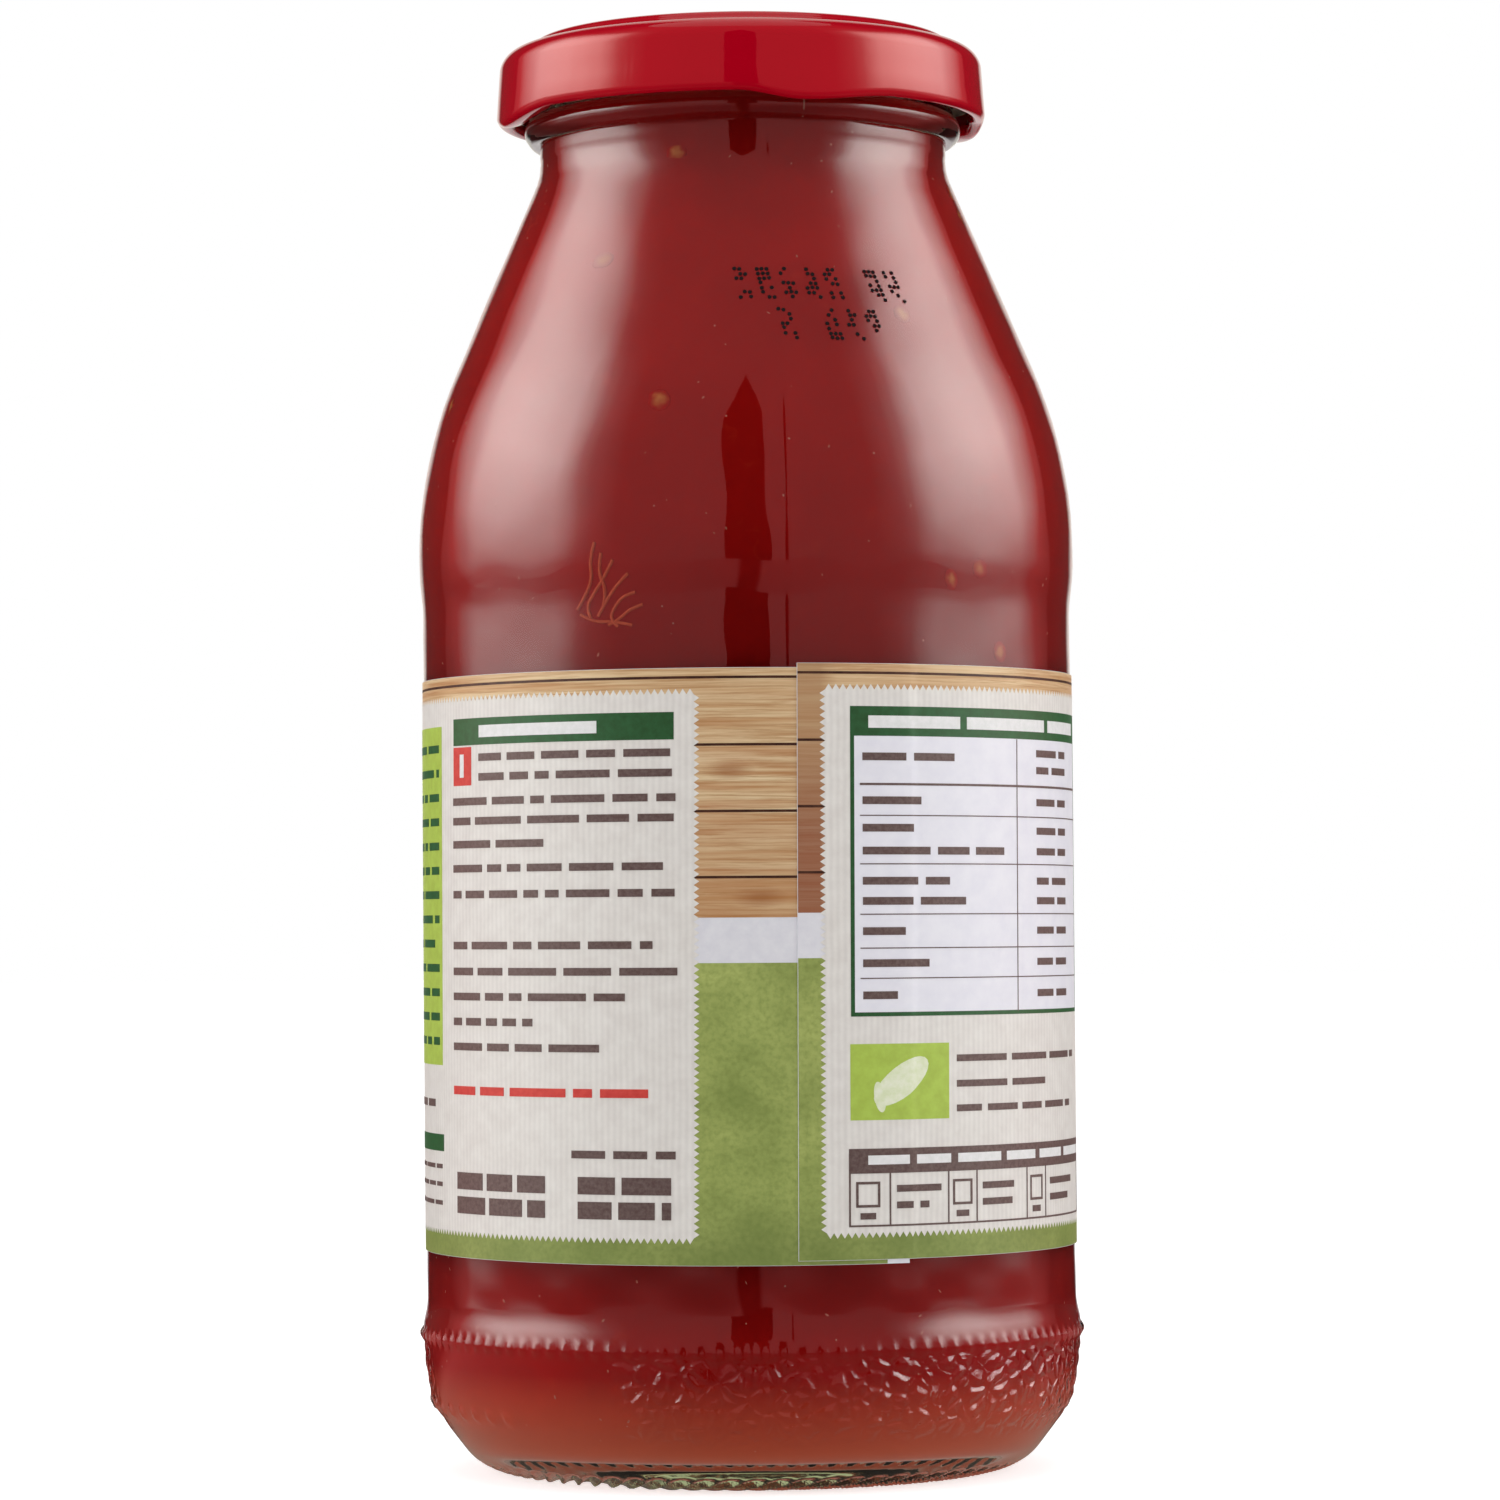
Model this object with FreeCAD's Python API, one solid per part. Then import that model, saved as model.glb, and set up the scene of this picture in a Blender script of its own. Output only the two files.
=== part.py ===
import FreeCAD, Part
import math
import os

from FreeCAD import Vector

# A half-kilo jar of tomato pulp: a lug-cap glass jar, its filling, its steel cap
# and the paper label wrapped round it. Everything is turned about +Z. The jar
# stands on z = 0, and the side where the label's two ends meet faces -Y.

# ---- Driving dimensions, in millimetres and degrees ---------------------------

overall_height = 164.4      # from the foot to the top of the cap
body_diameter = 74.66       # straight wall that carries the label
glass_wall = 2.4

# Heel and foot
heel_bulge = 0.52           # the heel stands this far proud of the label wall
heel_height = 16.1          # top of the heel band
heel_step = 3.9             # height over which the heel draws in to the label wall
heel_swell = 34.0           # long rounding of the heel's side, upright at its top
knee_round = 2.8            # short rounding under the side
knee_lean = 13.5            # the side leans in this far where the knee begins
foot_setback = 10.35        # from the heel's side in to the edge the jar stands on
foot_land = 1.6             # flat width of the ring the jar stands on
foot_round = 7.0            # rounding outside that ring
push_up = 3.2               # how far the middle of the foot is domed up
push_up_round = 1.5         # rounding inside the ring
base_thickness = 4.0        # lowest point of the cavity above the foot
floor_dome = 2.6            # rise of the cavity's floor at its middle
cavity_heel_round = 8.0

# Shoulder, measured down from the top of the cap
shoulder_bulge = 0.42       # the band above the label stands this far proud
shoulder_drop = 59.4        # down to where the shoulder starts to draw in
shoulder_step_drop = 60.9   # down to the top of the step under that band
shoulder_step = 6.0         # height of that step
shoulder_round = 53.5       # long rounding from the band to the straight slope

# Neck
neck_diameter = 47.0
neck_straight = 2.3         # straight stretch between the bead and the slope
neck_round = 6.0

# Finish: what the cap grips
finish_step = 0.9           # the wall above the bead stands this proud of the neck
lip_round = 1.4
bead_proud = 0.9            # the bead stands this proud of the finish wall
bead_round = 1.6
bead_drop = 0.75            # from the cap's lower edge down to the bead's middle
thread_starts = 4
thread_depth = 1.6          # the threads stand this proud of the finish wall
thread_height = 1.7
thread_root = 0.6           # how deep each thread is rooted in the neck wall
thread_arc = 54.0
thread_tilt = 3.0
thread_lead = 12.0          # each thread's middle lies this far round from its lug

# Cap
cap_sheet = 0.25
cap_height = 9.45
cap_clearance = 1.7         # between the threads and the skirt, at its top
cap_flare = 0.35            # the skirt grows by this towards its curl
cap_round = 2.5             # rounding from the skirt to the top
curl_gap = 0.6              # between the curl and the threads
curl_turn = 50.0            # how far the curl goes on past its inner side
crown_step = 1.05           # the crown ring stands this far above the shoulder
crown_step_width = 1.7
crown_setback = 0.95        # from the finish wall in to the crown ring's outer edge
crown_width = 2.5           # flat top of the crown ring
panel_depth = 0.6           # the middle panel lies this far below the crown
panel_step_width = 1.3
button_diameter = 19.0
button_depth = 0.25         # drawn down by the vacuum
button_step_width = 2.0
lug_reach = 0.8             # each lug reaches this far in under a thread
lug_root = 0.18             # how deep each lug is rooted in the curl's sheet
lug_height = 0.9
lug_arc = 24.0
lug_gap = 0.2               # between a lug and the lowest point of a thread
lug_bearing = -67.0         # direction of the first lug

# Label
label_paper = 0.15
label_margin_foot = 5.3     # from the heel's step up to the label
label_margin_top = 7.1      # from the label up to the shoulder's step
label_seam = 8.1            # the outer end lies this far round from the front
label_overlap = 12.9        # length of paper on paper
label_rise = 0.5            # the outer end sits this much higher than the inner

# Filling
headspace = 8.5             # from the rim down to the pulp

# ---- Sizes worked out from them -----------------------------------------------

FRONT = -90.0
TINY = 1e-6

panel_radius = body_diameter / 2
heel_radius = panel_radius + heel_bulge
shoulder_radius = panel_radius + shoulder_bulge
neck_radius = neck_diameter / 2
bore_radius = neck_radius - glass_wall
finish_radius = neck_radius + finish_step
bead_radius = finish_radius + bead_proud
thread_radius = finish_radius + thread_depth
foot_radius = heel_radius - foot_setback

panel_bottom = heel_height + heel_step
shoulder_start = overall_height - shoulder_drop
panel_step_top = overall_height - shoulder_step_drop
panel_top = panel_step_top - shoulder_step
rim_height = overall_height - cap_sheet
fill_height = rim_height - headspace

# The cap's curl sets the height of its lugs, and they set the threads
cap_bottom = overall_height - cap_height
skirt_radius = thread_radius + cap_clearance + cap_sheet
curl_radius = (cap_clearance + cap_sheet + cap_flare - curl_gap) / 2
curl_center = (skirt_radius + cap_flare - curl_radius, cap_bottom + curl_radius)
lug_top = curl_center[1] + lug_height / 2
thread_dip = (thread_radius * math.sin(math.radians(thread_arc / 2))
              * math.sin(math.radians(thread_tilt)))
thread_middle = lug_top + lug_gap + thread_dip + thread_height / 2

# The bead lies under the cap, and the neck runs down from it
bead_center = (bead_radius - bead_round, cap_bottom - bead_drop)
bead_lower = math.degrees(math.acos((neck_radius - bead_center[0]) / bead_round))
bead_upper = math.degrees(math.acos((finish_radius - bead_center[0]) / bead_round))
bead_foot = bead_center[1] - bead_round * math.sin(math.radians(bead_lower))
neck_start = bead_foot - neck_straight


# ---- Profiles: tangent arcs in the R-Z half plane ------------------------------

def arc(center, radius, bulge, first, last):
    """A rounded stretch. first and last are the directions of its outward normal,
    in degrees. bulge is 1 where it swells outward and -1 where it is hollow."""
    return {"center": center, "radius": radius, "bulge": bulge, "normals": (first, last)}


def arc_point(stretch, share, inset):
    """A point along a stretch, moved in from the surface by inset."""
    first, last = stretch["normals"]
    angle = math.radians(first + share * (last - first))
    reach = stretch["bulge"] * stretch["radius"] - inset
    r, z = stretch["center"]
    return Vector(r + reach * math.cos(angle), 0, z + reach * math.sin(angle))


def common_normal(center_a, radius_a, bulge_a, center_b, radius_b, bulge_b):
    """Direction of the normal of the straight run that joins two roundings."""
    across, along = center_b[0] - center_a[0], center_b[1] - center_a[1]
    offset = bulge_a * radius_a - bulge_b * radius_b
    lean = math.acos(offset / math.hypot(across, along))
    return math.degrees(math.atan2(along, across) - lean)


def ogee(start, end, normal):
    """Two equal arcs that step from one run to another beside it."""
    out = (math.cos(math.radians(normal)), math.sin(math.radians(normal)))
    way = (-out[1], out[0])
    shift = (end[0] - start[0], end[1] - start[1])
    side = shift[0] * out[0] + shift[1] * out[1]
    length = shift[0] * way[0] + shift[1] * way[1]
    radius = (length ** 2 + side ** 2) / (4 * abs(side))
    turn = math.copysign(2 * math.degrees(math.atan(abs(side) / length)), -side)
    reach = math.copysign(radius, side)
    center_a = (start[0] + reach * out[0], start[1] + reach * out[1])
    center_b = (end[0] - reach * out[0], end[1] - reach * out[1])
    bulge = -1 if side > 0 else 1
    return [arc(center_a, radius, bulge, normal, normal + turn),
            arc(center_b, radius, -bulge, normal + turn, normal)]


def dome(rise, round_center, round_radius):
    """A shallow dome over the middle that runs into the rounding beside it, and
    the normal where they meet. rise is counted from the rounding's lowest point."""
    edge = round_center[0]
    radius = (edge ** 2 + rise ** 2 - 2 * round_radius * rise) / (2 * rise)
    center = (0, round_center[1] - round_radius + rise - radius)
    normal = math.degrees(math.atan2(round_center[1] - center[1], edge)) - 180
    return arc(center, radius, -1, -90, normal), normal


def edges_along(stretches, inset=0.0, start=None, end=None):
    """Edges through the stretches in turn, with straight runs between them."""
    edges, last = [], start
    for stretch in stretches:
        points = [arc_point(stretch, share, inset) for share in (0, 0.5, 1)]
        if last is not None and last.distanceToPoint(points[0]) > TINY:
            edges.append(Part.LineSegment(last, points[0]).toShape())
        edges.append(Part.Arc(*points).toShape())
        last = points[-1]
    if end is not None and last.distanceToPoint(end) > TINY:
        edges.append(Part.LineSegment(last, end).toShape())
    return edges


def turned(edges, sweep=360.0, bearing=0.0):
    """Close a profile with a straight edge and turn it about the Z axis."""
    first = edges[0].Vertexes[0].Point
    last = edges[-1].Vertexes[-1].Point
    if last.distanceToPoint(first) > TINY:
        edges = edges + [Part.LineSegment(last, first).toShape()]
    face = Part.Face(Part.Wire(edges))
    face.rotate(Vector(0, 0, 0), Vector(0, 0, 1), bearing)
    solid = face.revolve(Vector(0, 0, 0), Vector(0, 0, 1), sweep)
    if solid.Volume < 0:
        solid.reverse()
    return solid


def ring(inner, outer, bottom, top, sweep=360.0, bearing=0.0):
    """A flat-sided ring, or a piece of one that starts at a bearing."""
    corners = [Vector(inner, 0, bottom), Vector(outer, 0, bottom),
               Vector(outer, 0, top), Vector(inner, 0, top), Vector(inner, 0, bottom)]
    return turned(Part.makePolygon(corners).Edges, sweep, bearing)


# ---- The jar -------------------------------------------------------------------

def wall_stretches():
    """The jar's side from the heel's step to the neck, shared by both faces of
    the wall: the inner face is the same line moved in by the wall."""
    shoulder_center = (shoulder_radius - shoulder_round, shoulder_start)
    neck_center = (neck_radius + neck_round, neck_start)
    slope = common_normal(shoulder_center, shoulder_round, 1, neck_center, neck_round, -1)
    step = ogee((panel_radius, panel_top), (shoulder_radius, panel_step_top), 0)
    return step + [arc(shoulder_center, shoulder_round, 1, 0, slope),
                   arc(neck_center, neck_round, -1, slope, 0)]


def jar_outside():
    """Everything within the jar's outer surface, without threads."""
    lean = math.radians(knee_lean)
    side_center = (heel_radius - heel_swell, heel_height)
    knee_center = (side_center[0] + (heel_swell - knee_round) * math.cos(lean),
                   side_center[1] - (heel_swell - knee_round) * math.sin(lean))
    foot_center = (foot_radius, foot_round)
    flank = common_normal(foot_center, foot_round, 1, knee_center, knee_round, 1)

    ring_center = (foot_radius - foot_land, push_up_round)
    middle, blend = dome(push_up, ring_center, push_up_round)

    stretches = [middle,
                 arc(ring_center, push_up_round, 1, blend, -90),
                 arc(foot_center, foot_round, 1, -90, flank),
                 arc(knee_center, knee_round, 1, flank, -knee_lean),
                 arc(side_center, heel_swell, 1, -knee_lean, 0)]
    stretches += ogee((heel_radius, heel_height), (panel_radius, panel_bottom), 0)
    stretches += wall_stretches()

    stretches += [arc(bead_center, bead_round, 1, -bead_lower, bead_upper),
                  arc((finish_radius - lip_round, rim_height - lip_round), lip_round, 1, 0, 90)]
    return turned(edges_along(stretches, end=Vector(0, 0, rim_height)))


def cavity():
    """The space inside the glass, up to the rim."""
    corner_center = (panel_radius - glass_wall - cavity_heel_round,
                     base_thickness + cavity_heel_round)
    middle, blend = dome(floor_dome, corner_center, cavity_heel_round)
    floor = edges_along([middle, arc(corner_center, cavity_heel_round, 1, blend, 0)])
    side = edges_along(wall_stretches(), glass_wall, start=floor[-1].Vertexes[-1].Point)
    lip_center = (bore_radius + lip_round, rim_height - lip_round)
    mouth = edges_along([arc(lip_center, lip_round, -1, 0, -90)],
                        start=side[-1].Vertexes[-1].Point, end=Vector(0, 0, rim_height))
    return turned(floor + side + mouth)


def thread(bearing):
    """One thread start: a short sloping ridge with rounded flanks."""
    half = thread_height / 2
    root, tip = finish_radius - thread_root, thread_radius
    shape = edges_along([arc((tip - half, thread_middle), half, 1, -90, 90)],
                        start=Vector(root, 0, thread_middle - half),
                        end=Vector(root, 0, thread_middle + half))
    ridge = turned(shape, thread_arc, -thread_arc / 2)
    ridge.rotate(Vector(0, 0, thread_middle), Vector(1, 0, 0), -thread_tilt)
    ridge.rotate(Vector(0, 0, 0), Vector(0, 0, 1), bearing)
    return ridge


def bearings(first, count):
    return [first + 360.0 * i / count for i in range(count)]


def jar_glass():
    starts = [thread(b) for b in bearings(lug_bearing + thread_lead, thread_starts)]
    return jar_outside().fuse(starts).cut(cavity())


# ---- The filling ---------------------------------------------------------------

def tomato_pulp():
    """The pulp fills the cavity up to its level, with headspace under the cap."""
    above = ring(0, body_diameter, fill_height, overall_height)
    return cavity().cut(above)


# ---- The cap -------------------------------------------------------------------

def cap_sheet_shape():
    """The drawn sheet: curl, skirt, crown ring, middle panel and vacuum button."""
    shoulder_top = overall_height - crown_step
    round_center = (skirt_radius - cap_round, shoulder_top - cap_round)
    flare = common_normal(curl_center, curl_radius, 1, round_center, cap_round, 1)

    crown_outer = finish_radius - crown_setback
    crown_inner = crown_outer - crown_width
    panel_height = overall_height - panel_depth
    panel_edge = crown_inner - panel_step_width
    button_edge = button_diameter / 2

    stretches = [arc(curl_center, curl_radius, 1, -180 - curl_turn, flare),
                 arc(round_center, cap_round, 1, flare, 90)]
    stretches += ogee((crown_outer + crown_step_width, shoulder_top),
                      (crown_outer, overall_height), 90)
    stretches += ogee((crown_inner, overall_height), (panel_edge, panel_height), 90)
    stretches += ogee((button_edge, panel_height),
                      (button_edge - button_step_width, panel_height - button_depth), 90)

    middle = panel_height - button_depth
    outside = edges_along(stretches, end=Vector(0, 0, middle))
    inside = edges_along(stretches, cap_sheet, end=Vector(0, 0, middle - cap_sheet))
    hem = Part.LineSegment(inside[0].Vertexes[0].Point, outside[0].Vertexes[0].Point)
    axis = Part.LineSegment(outside[-1].Vertexes[-1].Point, inside[-1].Vertexes[-1].Point)
    wire = Part.Wire([hem.toShape()] + outside + [axis.toShape()] + inside[::-1])
    cap = Part.Face(wire).revolve(Vector(0, 0, 0), Vector(0, 0, 1), 360)
    if cap.Volume < 0:
        cap.reverse()
    return cap


def lug(bearing):
    """One lug: a tab of the curl's inner side, reaching in under a thread."""
    outer = curl_center[0] - curl_radius + lug_root
    return ring(thread_radius - lug_reach, outer, lug_top - lug_height, lug_top,
                lug_arc, bearing - lug_arc / 2)


def lid():
    lugs = [lug(b) for b in bearings(lug_bearing, thread_starts)]
    return cap_sheet_shape().fuse(lugs)


# ---- The label -----------------------------------------------------------------

def label():
    """Paper wrapped once round the straight wall, its outer end lapped over."""
    bottom = panel_bottom + label_margin_foot
    top = panel_top - label_margin_top
    outer = panel_radius + label_paper
    sweep = math.degrees(label_overlap / outer)
    wrap = ring(panel_radius, outer, bottom, top)
    flap = ring(outer, outer + label_paper, bottom + label_rise, top + label_rise,
                sweep, FRONT + label_seam)
    return wrap.fuse(flap)


# ---- Write the pieces ----------------------------------------------------------

os.makedirs("parts", exist_ok=True)
for name, build in (("jar_glass", jar_glass), ("tomato_pulp", tomato_pulp),
                    ("lid", lid), ("label", label)):
    piece = build()
    assert piece.isValid() and len(piece.Solids) == 1, name
    piece.exportStep(os.path.join("parts", name + ".step"))
    print(name, "volume in ml:", round(piece.Volume / 1000, 2))
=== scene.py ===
# %% [markdown]
# # A jar of tomato pulp
#
# The real object is a half-kilo jar: a clear glass body with a sloping shoulder, a red steel lug
# cap, a paper label rolled once round it, and deep red pulp. It has been built once already in
# CAD, as four solids, and that model is the fixed frame for this lesson. Here each solid gets a
# finer double that carries what the eye needs: the knurled foot, the pebbled heel, the wet
# filling with its seeds, the lacquer, and the print. The lesson starts by loading the frame.

# %% Load the CAD model
import math
import random

import bpy
import numpy as np
from mathutils import Matrix, Vector


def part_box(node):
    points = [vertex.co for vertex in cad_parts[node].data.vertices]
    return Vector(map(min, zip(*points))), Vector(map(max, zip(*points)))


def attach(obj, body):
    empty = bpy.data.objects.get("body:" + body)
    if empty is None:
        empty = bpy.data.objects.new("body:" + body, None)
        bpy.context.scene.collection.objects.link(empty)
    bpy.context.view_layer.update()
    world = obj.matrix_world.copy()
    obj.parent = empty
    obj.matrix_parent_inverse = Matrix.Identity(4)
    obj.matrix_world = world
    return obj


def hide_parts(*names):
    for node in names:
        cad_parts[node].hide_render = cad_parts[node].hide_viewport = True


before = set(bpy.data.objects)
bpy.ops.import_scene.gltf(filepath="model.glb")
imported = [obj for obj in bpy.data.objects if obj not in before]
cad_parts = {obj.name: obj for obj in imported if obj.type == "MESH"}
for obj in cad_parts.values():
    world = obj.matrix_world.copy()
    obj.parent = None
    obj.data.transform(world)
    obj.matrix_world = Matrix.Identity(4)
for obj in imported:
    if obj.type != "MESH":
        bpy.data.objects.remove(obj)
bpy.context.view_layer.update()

# %% [markdown]
# ## Small helpers
#
# Blender counts in metres, and a jar is easier to think of in millimetres, so every size below is
# in millimetres and is multiplied by MM where it enters the scene. Directions round the jar are
# bearings: 0 degrees faces the viewer, and they grow towards the viewer's right. One function
# turns the colour that a paint shop would write into the linear colour that the renderer uses.

# %% Units, bearings and colours
MM = 0.001


def linear(written):
    """The linear colour, with alpha, of an sRGB hex value such as 'c8102e'."""
    parts = [int(written[place:place + 2], 16) / 255 for place in (0, 2, 4)]
    return [part / 12.92 if part <= 0.04045 else ((part + 0.055) / 1.055) ** 2.4
            for part in parts] + [1.0]


def at_bearing(bearing, radius, height):
    """The place at a bearing, in degrees, a radius and a height, in millimetres."""
    turn = math.radians(bearing)
    return Vector((radius * math.sin(turn), -radius * math.cos(turn), height)) * MM


def smooth_step(start, end, value):
    """0 before start, 1 after end, and an easy slope between them."""
    share = np.clip((value - start) / (end - start), 0.0, 1.0)
    return share * share * (3 - 2 * share)


print("a red in linear light:", [round(part, 3) for part in linear("b2001a")])

# %% [markdown]
# A finished piece is handed over in one step: it gets its material, it rides on the jar's single
# body, and it may replace a CAD solid.
# Reading and moving all of a mesh's points at once is done with arrays, which is far quicker than
# point by point.


# %% Points in, points out, and handing a piece over
def rows_of(piece, kind="co"):
    """What a mesh keeps for each of its points, one row each: its place, or which way it faces."""
    rows = np.empty(len(piece.data.vertices) * 3)
    piece.data.vertices.foreach_get(kind, rows)
    return rows.reshape(-1, 3)


def points_of(piece):
    """Every point of a piece, one row each, in millimetres."""
    return rows_of(piece) / MM


def move_points(piece, points):
    piece.data.vertices.foreach_set("co", (points * MM).ravel())
    piece.data.update()


def round_axis(points):
    """Each point's distance from the jar's axis, its height, and its bearing in degrees."""
    return (np.hypot(points[:, 0], points[:, 1]), points[:, 2],
            np.degrees(np.arctan2(points[:, 0], -points[:, 1])))


def turned_from(start, bearing):
    """How far round each bearing lies from start, from -180 to 180 degrees."""
    return (bearing - start + 180) % 360 - 180


def pick(piece, *others):
    """Select these pieces and no others, with the first one active, as the operators expect."""
    bpy.ops.object.select_all(action="DESELECT")
    for chosen in (piece, *others):
        chosen.select_set(True)
    bpy.context.view_layer.objects.active = piece


def added(name, data):
    """A new object that shows a mesh, a curve, a lamp or a camera."""
    thing = bpy.data.objects.new(name, data)
    bpy.context.collection.objects.link(thing)
    return thing


def modify(piece, name, kind, **settings):
    """Give the active piece a modifier with its settings, and apply it."""
    modifier = piece.modifiers.new(name, kind)
    for setting, value in settings.items():
        setattr(modifier, setting, value)
    bpy.ops.object.modifier_apply(modifier=name)


def hand_over(piece, finish, slot, *nodes):
    """Give a piece its finish and its place in the frame."""
    piece.data.materials.clear()
    piece.data.materials.append(finish)
    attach(piece, "root")
    if nodes:
        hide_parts(*nodes)
    triangles = sum(len(face.vertices) - 2 for face in piece.data.polygons)
    print(piece.name, "has", triangles, "triangles")


# %% [markdown]
# Materials are built from nodes, and one small function adds any node: it is told the node's
# kind, what goes into its sockets, and its settings. A socket takes either a value or a link from
# another node. Short helpers built on it stand for the nodes that nearly every finish uses: noise,
# a change of range, a mix of two colours, a bump.


# %% One way to add a node
def new_finish(name):
    """An empty node material, and its output."""
    finish = bpy.data.materials.new(name)
    finish.use_nodes = True
    finish.node_tree.nodes.clear()
    return finish, add(finish, "OutputMaterial")


def add(finish, kind, sockets=None, **settings):
    """Add a node, with its settings, and fill or link its sockets."""
    node = finish.node_tree.nodes.new("ShaderNode" + kind)
    for name, value in settings.items():
        setattr(node, name, value)
    for name, value in (sockets or {}).items():
        if isinstance(value, bpy.types.NodeSocket):
            finish.node_tree.links.new(value, node.inputs[name])
        else:
            node.inputs[name].default_value = value
    return node


# %% The nodes that nearly every finish uses
def own_place(finish):
    """Where a point of the object lies, in metres."""
    return add(finish, "TexCoord").outputs["Object"]


def axis_of(finish, place, axis):
    return add(finish, "SeparateXYZ", {"Vector": place}).outputs[axis]


def noise(finish, place, scale, detail=2.0, give="Fac", **more):
    """Cloudy noise. It changes about scale times over one unit of place."""
    return add(finish, "TexNoise", {"Vector": place, "Scale": scale, "Detail": detail, **more}
               ).outputs[give]


def stretched(finish, place, *scale):
    """The same place on a stretched map, for a pattern with a grain."""
    return add(finish, "Mapping", {"Vector": place, "Scale": scale}).outputs["Vector"]


def remap(finish, value, start, end, low=0.0, high=1.0, how="LINEAR"):
    """Values from start to end become values from low to high."""
    return add(finish, "MapRange", {"Value": value, "From Min": start, "From Max": end,
                                    "To Min": low, "To Max": high},
               interpolation_type=how).outputs["Result"]


def mixed(finish, share, first, second, how="MIX"):
    """Two colours put together, with a share of the second."""
    return add(finish, "Mix", {0: share, 6: first, 7: second}, data_type="RGBA",
               blend_type=how).outputs[2]


def worked_out(finish, how, *values):
    """A sum, a product or another simple calculation."""
    return add(finish, "Math", dict(enumerate(values)), operation=how).outputs["Value"]


def vector(finish, how, *values, give="Vector"):
    return add(finish, "VectorMath", dict(enumerate(values)), operation=how).outputs[give]


def ramp_of(finish, share, stops, whole):
    """A ramp of grey levels: stops are places and levels, and whole is the place of the far end."""
    node = add(finish, "ValToRGB", {"Fac": share})
    ramp = node.color_ramp
    while len(ramp.elements) < len(stops):
        ramp.elements.new(0.5)
    for element, (place, level) in zip(ramp.elements, stops):
        element.position = place / whole
    for element, (place, level) in zip(ramp.elements, stops):
        element.color = (level, level, level, 1.0)
    return node.outputs["Color"]


def bump(finish, height, strength, depth, **under):
    """Fine relief, depth millimetres high, as a change of the way the surface faces."""
    return add(finish, "Bump", {"Height": height, "Strength": strength, "Distance": depth * MM,
                                **under}).outputs["Normal"]


def finished(finish, out, shader, socket="Surface"):
    """Send a shader to a finish's output."""
    finish.node_tree.links.new(shader.outputs[0], out.inputs[socket])


def coat(finish, out, colour, roughness, more=None):
    """The Principled shader with a colour and a roughness, sent to the output."""
    body = add(finish, "BsdfPrincipled", {"Base Color": colour, "Roughness": roughness,
                                          **(more or {})})
    finished(finish, out, body)


# %% [markdown]
# ## The jar's outline
#
# Glass jars are blown into a turned mould, so one outline, spun round the axis, gives the whole
# body. It could be a chain of hand-placed points, but real moulds are cut with tangent arcs, and
# a highlight shows every kink. So the outline is written as roundings with the direction that
# each one faces at its two ends, the same way the CAD solid was drawn, and the points are spaced
# along them.


# %% Roundings and steps, in millimetres
def rounding(center, radius, first, last, bulge=1):
    """A rounded stretch: its middle, its radius, and which way it faces at each end."""
    return center, radius, first, last, bulge


def shared_facing(center_a, radius_a, bulge_a, center_b, radius_b, bulge_b):
    """The direction faced by the straight run that joins two roundings."""
    across, along = center_b[0] - center_a[0], center_b[1] - center_a[1]
    offset = bulge_a * radius_a - bulge_b * radius_b
    lean = math.acos(offset / math.hypot(across, along))
    return math.degrees(math.atan2(along, across) - lean)


def step_over(start, end, facing):
    """Two equal roundings, one hollow, that step from one run to another beside it."""
    out = Vector((math.cos(math.radians(facing)), math.sin(math.radians(facing))))
    way = Vector((-out.y, out.x))
    shift = Vector(end) - Vector(start)
    side, length = shift.dot(out), shift.dot(way)
    radius = (length ** 2 + side ** 2) / (4 * abs(side))
    turn = math.copysign(2 * math.degrees(math.atan(abs(side) / length)), -side)
    reach = math.copysign(radius, side) * out
    bulge = -1 if side > 0 else 1
    return [rounding(tuple(Vector(start) + reach), radius, facing, facing + turn, bulge),
            rounding(tuple(Vector(end) - reach), radius, facing + turn, facing, -bulge)]


def dome_into(rise, round_center, round_radius):
    """A shallow dome over the middle that runs into the rounding beside it."""
    edge = round_center[0]
    radius = (edge ** 2 + rise ** 2 - 2 * round_radius * rise) / (2 * rise)
    center = (0.0, round_center[1] - round_radius + rise - radius)
    facing = math.degrees(math.atan2(round_center[1] - center[1], edge)) - 180
    return rounding(center, radius, -90, facing, -1), facing


def trace(stretches, spacing, inset=0.0):
    """Points along roundings, moved in from the surface by inset."""
    points = []
    for (across, up), radius, first, last, bulge in stretches:
        count = max(2, math.ceil(radius * abs(math.radians(last - first)) / spacing))
        reach = bulge * radius - inset
        for step in range(count + 1):
            facing = math.radians(first + (last - first) * step / count)
            points.append((across + reach * math.cos(facing), up + reach * math.sin(facing)))
    return points


def divided(points, longest):
    """The same line with extra points, so that no run is longer than longest."""
    result = [points[0]]
    for (r0, z0), (r1, z1) in zip(points, points[1:]):
        count = max(1, math.ceil(math.hypot(r1 - r0, z1 - z0) / longest))
        result += [(r0 + (r1 - r0) * step / count, z0 + (z1 - z0) * step / count)
                   for step in range(1, count + 1)]
    return result


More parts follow.
